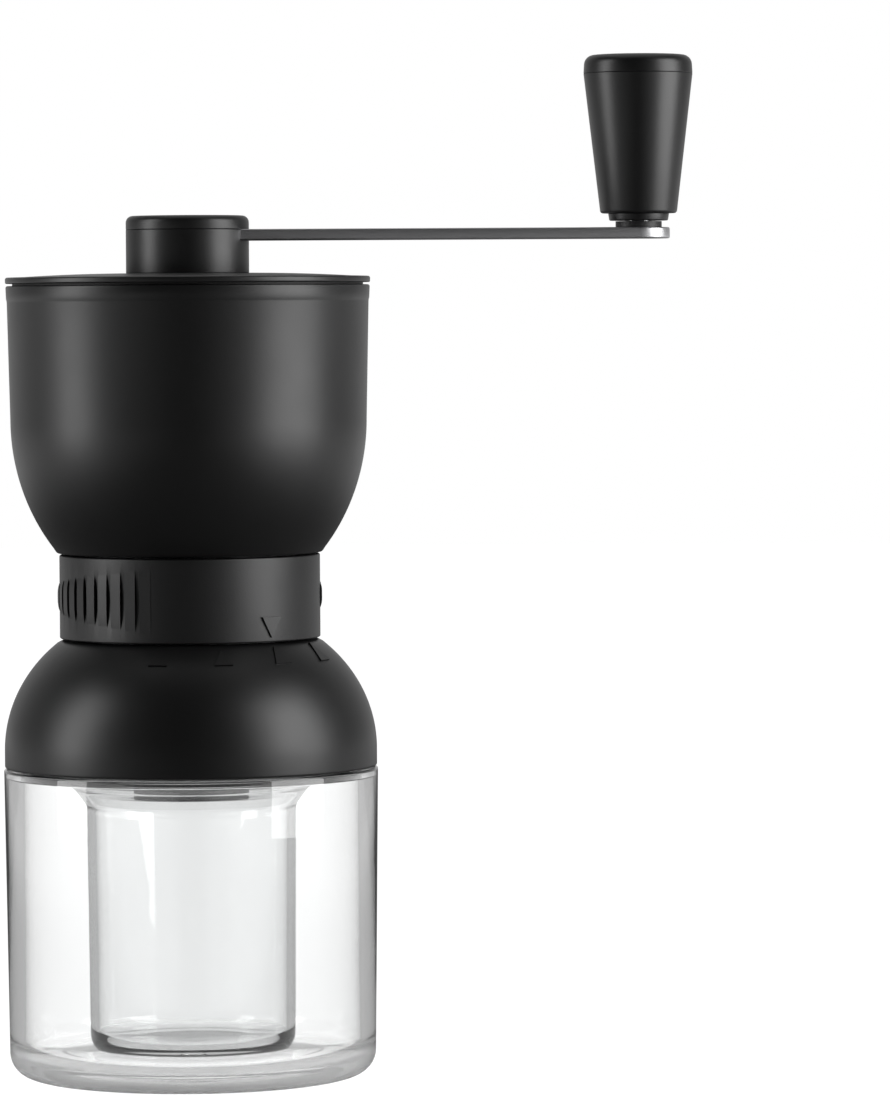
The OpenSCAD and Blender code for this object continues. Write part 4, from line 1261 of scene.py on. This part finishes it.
@dataclass
class Hopper:
    """The bean hopper, with holes in its floor for the tower's screws."""

    foot: float = 29.6 * MM
    belly: float = 39.95 * MM
    belly_height: float = 29.9 * MM
    mouth: float = 40.6 * MM
    share: float = 0.67
    wall: float = 2.3 * MM
    floor: float = 2.8 * MM
    lip: float = 3.2 * MM
    proud: float = 0.2 * MM
    round_low: float = 0.9 * MM
    throat: float = 15.5 * MM
    steps: int = 40
    screw_ring: float = 23.5 * MM

    def radius(self, height: float) -> float:
        """Gives the hopper's radius at a height above its foot."""
        low, high = box_of("hopper_bowl")
        if height < self.belly_height:
            return swell(self.foot, self.belly, self.belly_height, self.share, height)
        rest = (high.z - low.z) - self.belly_height
        return self.belly + (self.mouth - self.belly) * (height - self.belly_height) / rest

    def outline(self) -> list[Point]:
        """Gives the hopper's outline, up its outside and down its inside."""
        low, high = box_of("hopper_bowl")
        tall = high.z - low.z
        edge = self.radius(self.round_low)
        start = [(self.throat, low.z), (edge - self.round_low * 1.3, low.z)]
        start += arc_points(
            (edge - self.round_low * 1.15, low.z + self.round_low), self.round_low, -math.pi / 2, -0.7
        )
        low_end = self.round_low * 1.3
        climb = self.belly_height - low_end
        rise = [low_end + climb * i / self.steps for i in range(self.steps + 1)]
        outer = [(self.radius(h), low.z + h) for h in rise]
        rim = tall - self.lip
        lip = [
            (self.radius(rim), low.z + rim - 0.5 * MM),
            (self.radius(rim) + self.proud * 0.25, low.z + rim - 0.1 * MM),
            (self.radius(rim) + self.proud * 0.8, low.z + rim + 0.3 * MM),
            (self.mouth + self.proud, high.z - 0.4 * MM),
            (self.mouth + self.proud - 0.12 * MM, high.z - 0.12 * MM),
            (self.mouth + self.proud - 0.4 * MM, high.z),
            (self.mouth - self.wall + 0.4 * MM, high.z),
            (self.mouth - self.wall + 0.12 * MM, high.z - 0.12 * MM),
            (self.mouth - self.wall, high.z - 0.4 * MM),
        ]
        drop = self.floor - self.belly_height
        fall = [self.belly_height + drop * i / self.steps for i in range(self.steps + 1)]
        inner = [(self.radius(h) - self.wall, low.z + h) for h in fall]
        return start + outer + lip + inner + [(self.throat, low.z + self.floor)]

    def build(self, maker: Maker) -> None:
        """Makes the hopper."""
        low = box_of("hopper_bowl")[0]
        bowl = turned("hopper_bowl_shell", self.outline(), 256)
        bowl = maker.repeat(
            bowl,
            unit_pin(),
            Slot.BLACK,
            3,
            math.radians(30),
            math.tau / 3,
            self.screw_ring,
            low.z - 1 * MM,
            (1.05 * MM, 1.05 * MM, 6 * MM),
        )
        maker.hand_over(bowl, Body.MILL, Slot.BLACK, "hopper_bowl")


@dataclass
class Lid:
    """The lid with its gasket and the bush round the shaft."""

    bore: float = 4.7 * MM
    thick: float = 1.4 * MM
    skirt_wall: float = 1.8 * MM
    skirt_depth: float = 6.0 * MM
    skirt: float = 36.87 * MM
    rise: float = 0.8 * MM
    seat: float = 14.1 * MM
    sink: float = 0.5 * MM
    steps: int = 16

    def outline(self) -> list[Point]:
        """Gives the lid's outline."""
        high = box_of("lid_disc")[1]
        low = high.z - self.rise - self.thick
        under = rounded(
            [
                (self.bore, low, 0.0),
                (self.skirt - self.skirt_wall, low, 0.5 * MM),
                (self.skirt - self.skirt_wall, low - self.skirt_depth, 0.5 * MM),
                (self.skirt, low - self.skirt_depth, 0.5 * MM),
                (self.skirt, low, 0.3 * MM),
                (high.x, low, 0.35 * MM),
                (high.x, low + self.thick, 0.5 * MM),
                (high.x - 4 * MM, low + self.thick + 0.1 * MM, 0.0),
            ]
        )
        crown = []
        for i in range(1, self.steps + 1):
            t = i / self.steps
            r = high.x - 4 * MM + (self.seat - high.x + 4 * MM) * t
            crown.append((r, low + self.thick + 0.1 * MM + (self.rise - 0.1 * MM) * (1 - (1 - t) ** 2)))
        floor = high.z - self.sink
        return under + crown + [(self.seat, floor), (self.bore, floor)]

    def build(self, maker: Maker) -> None:
        """Makes the lid."""
        lid = turned("lid_cover", self.outline(), 256)
        maker.hand_over(lid, Body.LID, Slot.BLACK, "lid_disc")
        maker.dress_node("lid_gasket", Slot.GASKET)
        maker.dress_node("lid_bush", Slot.BUSH)


@dataclass
class CrankHub:
    """The boss on the shaft: its shell with the arm's slot and the screws' pockets, its cap and the steel
    socket.
    """

    wall: float = 2.0 * MM
    socket_wall: float = 7.4 * MM
    socket: float = 5.45 * MM
    seam: float = 0.16 * MM
    cap_round: float = 2.5 * MM
    arm_half: float = 7.05 * MM
    screw_ring: float = 9.9 * MM
    pocket: float = 1.95 * MM
    pocket_depth: float = 1.2 * MM

    def build(self, maker: Maker) -> None:
        """Makes the hub."""
        low, high = box_of("hub_shell")
        arm = box_of("crank_arm")
        shell = turned(
            "hub_shell_boss",
            rounded(
                [
                    (self.socket, low.z, 0.0),
                    (high.x, low.z, 0.4 * MM),
                    (high.x, high.z, self.seam),
                    (high.x - self.wall, high.z, 0.0),
                    (high.x - self.wall, low.z + self.wall, 0.0),
                    (self.socket_wall, low.z + self.wall, 0.0),
                    (self.socket_wall, arm[0].z, 0.0),
                    (self.socket, arm[0].z, 0.0),
                ]
            ),
        )
        half = self.arm_half
        slot = prism(
            "slot_tool",
            [(0.0, -half), (0.03, -half), (0.03, half), (0.0, half)],
            arm[0].z - 0.05 * MM,
            high.z + 1 * MM,
        )
        shell = maker.repeat(
            cut(shell, slot),
            unit_pin(),
            Slot.BLACK,
            3,
            math.radians(90),
            math.radians(90),
            self.screw_ring,
            low.z - MM,
            (self.pocket, self.pocket, self.pocket_depth + MM),
        )
        maker.hand_over(shell, Body.CRANK, Slot.BLACK, "hub_shell")
        low, high = box_of("hub_cap")
        cap = turned(
            "hub_cap_dome",
            rounded(
                [
                    (0.0, low.z, 0.0),
                    (high.x, low.z, self.seam),
                    (high.x, high.z - 0.12 * MM, self.cap_round),
                    (high.x * 0.45, high.z, 4 * MM),
                    (0.0, high.z, 0.0),
                ]
            ),
        )
        maker.hand_over(cap, Body.CRANK, Slot.BLACK, "hub_cap")
        maker.dress_node("drive_socket", Slot.STEEL)


@dataclass
class CrankArm:
    """The flat steel arm, with its socket hole and the hole for the knob's spindle."""

    edge: float = 0.35 * MM
    steps: int = 48
    reach: float = 101.4 * MM
    spindle_hole: float = 2.45 * MM
    socket_hole: float = 4.85 * MM

    def build(self, maker: Maker) -> None:
        """Makes the arm."""
        low, high = box_of("crank_arm")
        half = high.y
        right = [
            (self.reach + half * math.cos(a), half * math.sin(a))
            for a in [math.pi * (i / self.steps - 0.5) for i in range(self.steps + 1)]
        ]
        left = [
            (half * math.cos(a), half * math.sin(a))
            for a in [math.pi * (i / self.steps + 0.5) for i in range(self.steps + 1)]
        ]
        arm = prism("crank_arm_bar", right + left, low.z, high.z)
        hexagon = [
            (self.socket_hole * math.cos(math.tau * i / 6), self.socket_hole * math.sin(math.tau * i / 6))
            for i in range(6)
        ]
        arm = cut(arm, prism("socket_tool", hexagon, low.z - MM, high.z + MM))
        pin = turned(
            "spindle_tool",
            [
                (0.0, low.z - MM),
                (self.spindle_hole, low.z - MM),
                (self.spindle_hole, high.z + MM),
                (0.0, high.z + MM),
            ],
            48,
            (self.reach, 0.0),
        )
        arm = bevelled(cut(arm, pin), self.edge)
        maker.hand_over(arm, Body.CRANK, Slot.ARM, "crank_arm")


@dataclass
class Knob:
    """The tapered knob with its cap, collar, washers and spindle."""

    reach: float = 101.4 * MM
    foot: float = 8.6 * MM
    head: float = 12.25 * MM
    seam: float = 0.14 * MM
    bore: float = 4.7 * MM
    pocket: float = 6.15 * MM
    pocket_depth: float = 8.5 * MM
    collar: float = 6.85 * MM
    spindle: float = 3.05 * MM

    def build(self, maker: Maker) -> None:
        """Makes the knob's pieces."""
        axis = (self.reach, 0.0)
        low, high = box_of("knob_body")
        body = turned(
            "knob_body_taper",
            rounded(
                [
                    (self.bore, low.z, 0.2 * MM),
                    (self.foot, low.z, 0.7 * MM),
                    (self.head, high.z, self.seam),
                    (self.pocket, high.z, 0.0),
                    (self.pocket, high.z - self.pocket_depth, 0.0),
                    (self.bore, high.z - self.pocket_depth, 0.0),
                ]
            ),
            SEGMENTS,
            axis,
        )
        maker.hand_over(body, Body.KNOB, Slot.KNOB, "knob_body")
        low, high = box_of("knob_cap")
        base = box_of("knob_body")[1].z
        cap = turned(
            "knob_cap_dome",
            rounded(
                [
                    (0.0, base, 0.0),
                    (self.head, base, self.seam),
                    (self.head - 0.25 * MM, high.z - 0.25 * MM, 3.1 * MM),
                    (self.head * 0.4, high.z, 8 * MM),
                    (0.0, high.z, 0.0),
                ]
            ),
            SEGMENTS,
            axis,
        )
        maker.hand_over(cap, Body.KNOB, Slot.KNOB, "knob_cap")
        low, high = box_of("knob_collar")
        shelf = box_of("knob_body")[0].z
        collar = turned(
            "knob_collar_bush",
            rounded(
                [
                    (self.spindle, low.z, 0.2 * MM),
                    (self.collar - 0.25 * MM, low.z, 0.35 * MM),
                    (self.collar, shelf, 0.15 * MM),
                    (self.bore - 0.1 * MM, shelf, 0.0),
                    (self.bore - 0.1 * MM, high.z, 0.2 * MM),
                    (self.spindle, high.z, 0.2 * MM),
                ]
            ),
            SEGMENTS,
            axis,
        )
        maker.hand_over(collar, Body.KNOB, Slot.KNOB, "knob_collar")
        for node in ("knob_spindle", "knob_washer", "knob_screw"):
            maker.dress_node(node, Slot.STEEL)
        maker.dress_node("spacer_washer", Slot.DARK)


@dataclass
class BurrMill:
    """The burrs, what carries them and the shaft that turns them."""

    kept: dict[str, Slot] = field(
        default_factory=lambda: {
            "burr_housing": Slot.MILL,
            "lower_bridge": Slot.MILL,
            "burr_carrier": Slot.MILL,
            "bearing_tower": Slot.BLACK,
            "outer_burr": Slot.CERAMIC,
            "inner_burr": Slot.CERAMIC,
            "lower_bush": Slot.BUSH,
            "upper_bush": Slot.BUSH,
            "thrust_washer": Slot.BRONZE,
            "cam_pins": Slot.STEEL,
            "drive_shaft": Slot.STEEL,
            "drive_pin": Slot.STEEL,
            "spring_washer": Slot.STEEL,
            "retaining_clip": Slot.STEEL,
        }
    )
    wire: float = 0.45 * MM
    turns: float = 4.0

    def build(self, maker: Maker) -> None:
        """Dresses the mill and winds its spring."""
        for node, slot in self.kept.items():
            maker.dress_node(node, slot)
        low, high = box_of("burr_spring")
        spring = maker.coil.grow(
            seed_object("spring"),
            "burr_spring_coil",
            {
                "Material": maker.wardrobe.get(Slot.STEEL),
                "Radius": high.x - self.wire,
                "Rise": high.z - low.z - 2 * self.wire,
                "Turns": self.turns,
                "Steps": 240,
                "Corners": 12,
                "Section": self.wire,
                "Taper": 0.001,
                "Start": 0.0,
                "Height": low.z + self.wire,
                "Copies": 1,
            },
        )
        maker.hand_over(spring, Body.SHAFT, Slot.STEEL, "burr_spring")


@dataclass
class Fasteners:
    """The three rings of small screws."""

    radius: float = 1.0 * MM
    head: float = 1.9 * MM
    head_height: float = 1.2 * MM
    drive: float = 0.8 * MM

    def screw(self, length: float, up: bool) -> bpy.types.Object:
        """Makes one screw with its head's top at the origin.

        Args:
            length: Length of its shank.
            up: Whether the shank points up from the head.

        Returns:
            The screw.
        """
        way = 1.0 if up else -1.0
        body = turned(
            "screw",
            rounded(
                [
                    (0.0, -way * self.head_height, 0.0),
                    (self.head, -way * self.head_height, 0.35 * MM),
                    (self.head, 0.0, 0.15 * MM),
                    (self.radius, 0.0, 0.0),
                    (self.radius, way * (length - 0.4 * MM), 0.0),
                    (self.radius * 0.5, way * length, 0.0),
                    (0.0, way * length, 0.0),
                ]
            ),
            48,
        )
        deep = sorted((-way * (self.head_height + MM), -way * self.head_height * 0.45))
        hexagon = [
            (self.drive * math.cos(math.tau * i / 6), self.drive * math.sin(math.tau * i / 6))
            for i in range(6)
        ]
        return cut(body, prism("drive_tool", hexagon, deep[0], deep[1]))

    def ring(
        self, maker: Maker, node: str, body: Body, up: bool, turn: Point, circle: float
    ) -> None:
        """Stands three screws on their bolt circle in place of a node.

        Args:
            maker: The shared maker.
            node: Node of the frame that they stand for.
            body: Body that they move with.
            up: Whether their shanks point up.
            turn: Direction of the first screw, and the angle between two, in degrees.
            circle: Radius of the bolt circle.
        """
        low, high = box_of(node)
        length = high.z - low.z - self.head_height
        seat = low.z + self.head_height if up else high.z - self.head_height
        fastener = self.screw(length, up)
        screws = maker.bolts.grow(
            seed_object(node),
            f"{node}_set",
            {
                "Material": maker.wardrobe.get(Slot.STEEL),
                "Fastener": fastener,
                "Count": 3,
                "Radius": circle,
                "Start": math.radians(turn[0]),
                "Pitch": math.radians(turn[1]),
                "Height": seat,
            },
        )
        bpy.data.objects.remove(fastener)
        maker.hand_over(screws, body, Slot.STEEL, node)

    def build(self, maker: Maker) -> None:
        """Makes the three rings of screws."""
        self.ring(maker, "collar_screws", Body.MILL, True, (30.0, 120.0), 27.525 * MM)
        self.ring(maker, "tower_screws", Body.MILL, False, (30.0, 120.0), 23.5 * MM)
        self.ring(maker, "hub_screws", Body.CRANK, True, (90.0, 90.0), 9.9 * MM)


# ---------------------------------------------------------------- studio


@dataclass
class Studio:
    """Floor, lamps, surroundings and camera."""

    lens: float = 198.7
    stand: Vector = field(default_factory=lambda: Vector((0.0, -1.359, 0.1727)))
    target: Vector = field(default_factory=lambda: Vector((0.0574, 0.0, 0.1181)))
    roll: float = math.radians(-0.33)
    box_distance: float = 0.9
    box_height: float = 0.25
    box_rise: float = 1.2
    left_width: float = 0.36
    right_width: float = 0.62
    left_power: float = 7.0
    right_power: float = 13.0
    left_angle: float = math.radians(-77)
    right_angle: float = math.radians(68)
    top_power: float = 3.0
    floor_radius: float = 3.0
    floor_colour: float = 0.09
    floor_glow: float = 1.0
    # Floor glow that only reflected rays see, in the middle and at the sides: a painted reflection of side
    # light
    painted_reflection_middle: float = 0.05
    painted_reflection_sides: float = 0.8
    # Share of the floor's white glow left for a ray that passes through a clear piece after a reflection:
    # painted shade in the jar's reflections
    bounced: float = 0.4
    gloss_stops: tuple[Point, ...] = (
        (-1.0, 0.01), (-0.4, 0.02), (0.3, 0.08), (0.75, 0.45), (1.0, 0.6)
    )
    # World levels by direction for rays that leave a clear piece after a reflection: painted shade and
    # reflections in the jar
    clear_stops: tuple[Point, ...] = (
        (-1.0, 0.25), (-0.7, 0.4), (-0.2, 0.05), (0.4, 0.05), (0.8, 0.3), (0.93, 0.6)
    )

    def softbox(self, name: str, angle: float, power: float, width: float) -> None:
        """Stands a tall softbox at an angle from the camera's direction."""
        lamp = bpy.data.lights.new(name, "AREA")
        lamp.shape = "RECTANGLE"
        lamp.size, lamp.size_y = width, self.box_rise
        lamp.energy = power
        holder = bpy.data.objects.new(name, lamp)
        bpy.context.scene.collection.objects.link(holder)
        way = Vector((math.cos(FRONT + angle), math.sin(FRONT + angle), 0.0))
        holder.location = way * self.box_distance + Vector((0, 0, self.box_height))
        holder.rotation_euler = (-way).to_track_quat("-Z", "Y").to_euler()

    def top_light(self) -> None:
        """Hangs a wide weak lamp overhead."""
        lamp = bpy.data.lights.new("top", "AREA")
        lamp.shape = "RECTANGLE"
        lamp.size, lamp.size_y = 1.2, 1.2
        lamp.energy = self.top_power
        holder = bpy.data.objects.new("top", lamp)
        bpy.context.scene.collection.objects.link(holder)
        holder.location = (0.05, 0.25, 1.3)
        holder.rotation_euler = (math.radians(-8), 0, 0)

    def floor(self) -> None:
        """Lays a pale floor that keeps the grinder's shadow, with a painted reflection glow at its sides."""
        turns = [math.tau * i / 64 for i in range(64)]
        outline = [(self.floor_radius * math.cos(a), self.floor_radius * math.sin(a)) for a in turns]
        slab = prism("floor", outline, -0.02, -0.00005)
        material = bpy.data.materials.new("floor_pale")
        material.use_nodes = True
        nodes, links = material.node_tree.nodes, material.node_tree.links
        shader = nodes["Principled BSDF"]
        shader.inputs["Roughness"].default_value = 0.8
        shader.inputs["Specular IOR Level"].default_value = 0.1
        shader.inputs["Base Color"].default_value = (*[self.floor_colour] * 3, 1)
        shader.inputs["Emission Color"].default_value = (1, 1, 1, 1)
        path = nodes.new("ShaderNodeLightPath")
        clear = self._math(nodes, links, "MAXIMUM", path, "Is Camera Ray", "Is Transmission Ray")
        # Painted shade: the floor's white glow drops to the share bounced for rays that reflected before
        # passing through a clear piece
        bounced = nodes.new("ShaderNodeMapRange")
        bounced.inputs["To Min"].default_value = self.floor_glow
        bounced.inputs["To Max"].default_value = self.floor_glow * self.bounced
        links.new(path.outputs["Glossy Depth"], bounced.inputs["Value"])
        # Painted reflection: reflected rays see the floor glow more beyond 0.2 to 0.55 m to either side
        place = nodes.new("ShaderNodeTexCoord")
        split = nodes.new("ShaderNodeSeparateXYZ")
        links.new(place.outputs["Object"], split.inputs[0])
        aside = nodes.new("ShaderNodeMath")
        aside.operation = "ABSOLUTE"
        links.new(split.outputs["X"], aside.inputs[0])
        sides = nodes.new("ShaderNodeMapRange")
        sides.interpolation_type = "SMOOTHSTEP"
        sides.inputs["From Min"].default_value = 0.2
        sides.inputs["From Max"].default_value = 0.55
        sides.inputs["To Min"].default_value = self.painted_reflection_middle
        sides.inputs["To Max"].default_value = self.painted_reflection_sides
        links.new(aside.outputs[0], sides.inputs["Value"])
        gloss = nodes.new("ShaderNodeMath")
        gloss.operation = "MULTIPLY"
        links.new(path.outputs["Is Glossy Ray"], gloss.inputs[0])
        links.new(sides.outputs["Result"], gloss.inputs[1])
        whole = nodes.new("ShaderNodeMath")
        whole.operation = "MULTIPLY_ADD"
        links.new(clear, whole.inputs[0])
        links.new(bounced.outputs["Result"], whole.inputs[1])
        links.new(gloss.outputs[0], whole.inputs[2])
        links.new(whole.outputs[0], shader.inputs["Emission Strength"])
        slab.data.materials.append(material)

    @staticmethod
    def _math(
        nodes: bpy.types.Nodes,
        links: bpy.types.NodeLinks,
        work: str,
        source: bpy.types.Node,
        first: str,
        second: str,
    ) -> bpy.types.NodeSocket:
        """Joins two outputs of a node by a math node and gives its result."""
        node = nodes.new("ShaderNodeMath")
        node.operation = work
        links.new(source.outputs[first], node.inputs[0])
        links.new(source.outputs[second], node.inputs[1])
        return node.outputs[0]

    @staticmethod
    def _ramp(
        nodes: bpy.types.Nodes,
        links: bpy.types.NodeLinks,
        value: bpy.types.NodeSocket,
        stops: tuple[Point, ...],
    ) -> bpy.types.NodeSocket:
        """Adds a grey ramp over a value from -1 to 1 and gives its colour."""
        span = nodes.new("ShaderNodeMapRange")
        span.inputs["From Min"].default_value = -1.0
        links.new(value, span.inputs["Value"])
        ramp = nodes.new("ShaderNodeValToRGB")
        ramp.color_ramp.interpolation = "EASE"
        steps = ramp.color_ramp.elements
        while len(steps) < len(stops):
            steps.new(0.5)
        for step, (position, level) in zip(steps, stops):
            step.position = (position + 1) / 2
            step.color = (level, level, level, 1)
        links.new(span.outputs["Result"], ramp.inputs["Fac"])
        return ramp.outputs["Color"]

    def surroundings(self) -> None:
        """Sets the world: white to the camera and straight through clear pieces, a painted ramp of shade and
        reflections through them after a reflection, else dim.
        """
        world = bpy.data.worlds.new("studio")
        bpy.context.scene.world = world
        world.use_nodes = True
        nodes, links = world.node_tree.nodes, world.node_tree.links
        place = nodes.new("ShaderNodeTexCoord")
        split = nodes.new("ShaderNodeSeparateXYZ")
        links.new(place.outputs["Generated"], split.inputs[0])
        path = nodes.new("ShaderNodeLightPath")
        shown = self._ramp(nodes, links, split.outputs["Y"], self.gloss_stops)
        through = nodes.new("ShaderNodeMix")
        through.data_type = "RGBA"
        through.inputs["A"].default_value = (1, 1, 1, 1)
        links.new(path.outputs["Glossy Depth"], through.inputs["Factor"])
        # Painted shade and reflections in the jar: after a reflection, rays through clear pieces see this
        # ramp instead of white
        mirrored = self._ramp(nodes, links, split.outputs["Y"], self.clear_stops)
        links.new(mirrored, through.inputs["B"])
        seen = through.outputs["Result"]
        for name, level in (("Is Transmission Ray", seen), ("Is Camera Ray", None)):
            mix = nodes.new("ShaderNodeMix")
            mix.data_type = "RGBA"
            links.new(path.outputs[name], mix.inputs["Factor"])
            links.new(shown, mix.inputs["A"])
            if level is None:
                mix.inputs["B"].default_value = (1, 1, 1, 1)
            else:
                links.new(level, mix.inputs["B"])
            shown = mix.outputs["Result"]
        links.new(shown, nodes["Background"].inputs["Color"])

    def camera(self) -> None:
        """Stands the camera and aims it."""
        data = bpy.data.cameras.new("camera")
        data.lens = self.lens
        data.sensor_width = 36.0
        data.clip_start, data.clip_end = 0.05, 20.0
        holder = bpy.data.objects.new("camera", data)
        bpy.context.scene.collection.objects.link(holder)
        aim = (self.target - self.stand).to_track_quat("-Z", "Y").to_matrix().to_4x4()
        holder.matrix_world = (
            Matrix.Translation(self.stand) @ aim @ Matrix.Rotation(self.roll, 4, "Z")
        )
        bpy.context.scene.camera = holder

    def build(self) -> None:
        """Sets up the whole studio."""
        self.floor()
        self.softbox("left_softbox", self.left_angle, self.left_power, self.left_width)
        self.softbox("right_softbox", self.right_angle, self.right_power, self.right_width)
        self.top_light()
        self.surroundings()
        self.camera()
        bpy.context.scene.view_settings.view_transform = "Standard"


def main() -> None:
    """Builds the grinder's pieces in order, and the studio."""
    logging.basicConfig(level=logging.INFO, format="%(name)s %(message)s")
    maker = Maker()
    for assembly in (
        Jar(),
        Collar(),
        AdjustingRing(),
        Hopper(),
        Lid(),
        CrankHub(),
        CrankArm(),
        Knob(),
        BurrMill(),
        Fasteners(),
    ):
        assembly.build(maker)
        LOG.info("%s is done", type(assembly).__name__)
    Studio().build()


if __name__ == "__main__":
    main()
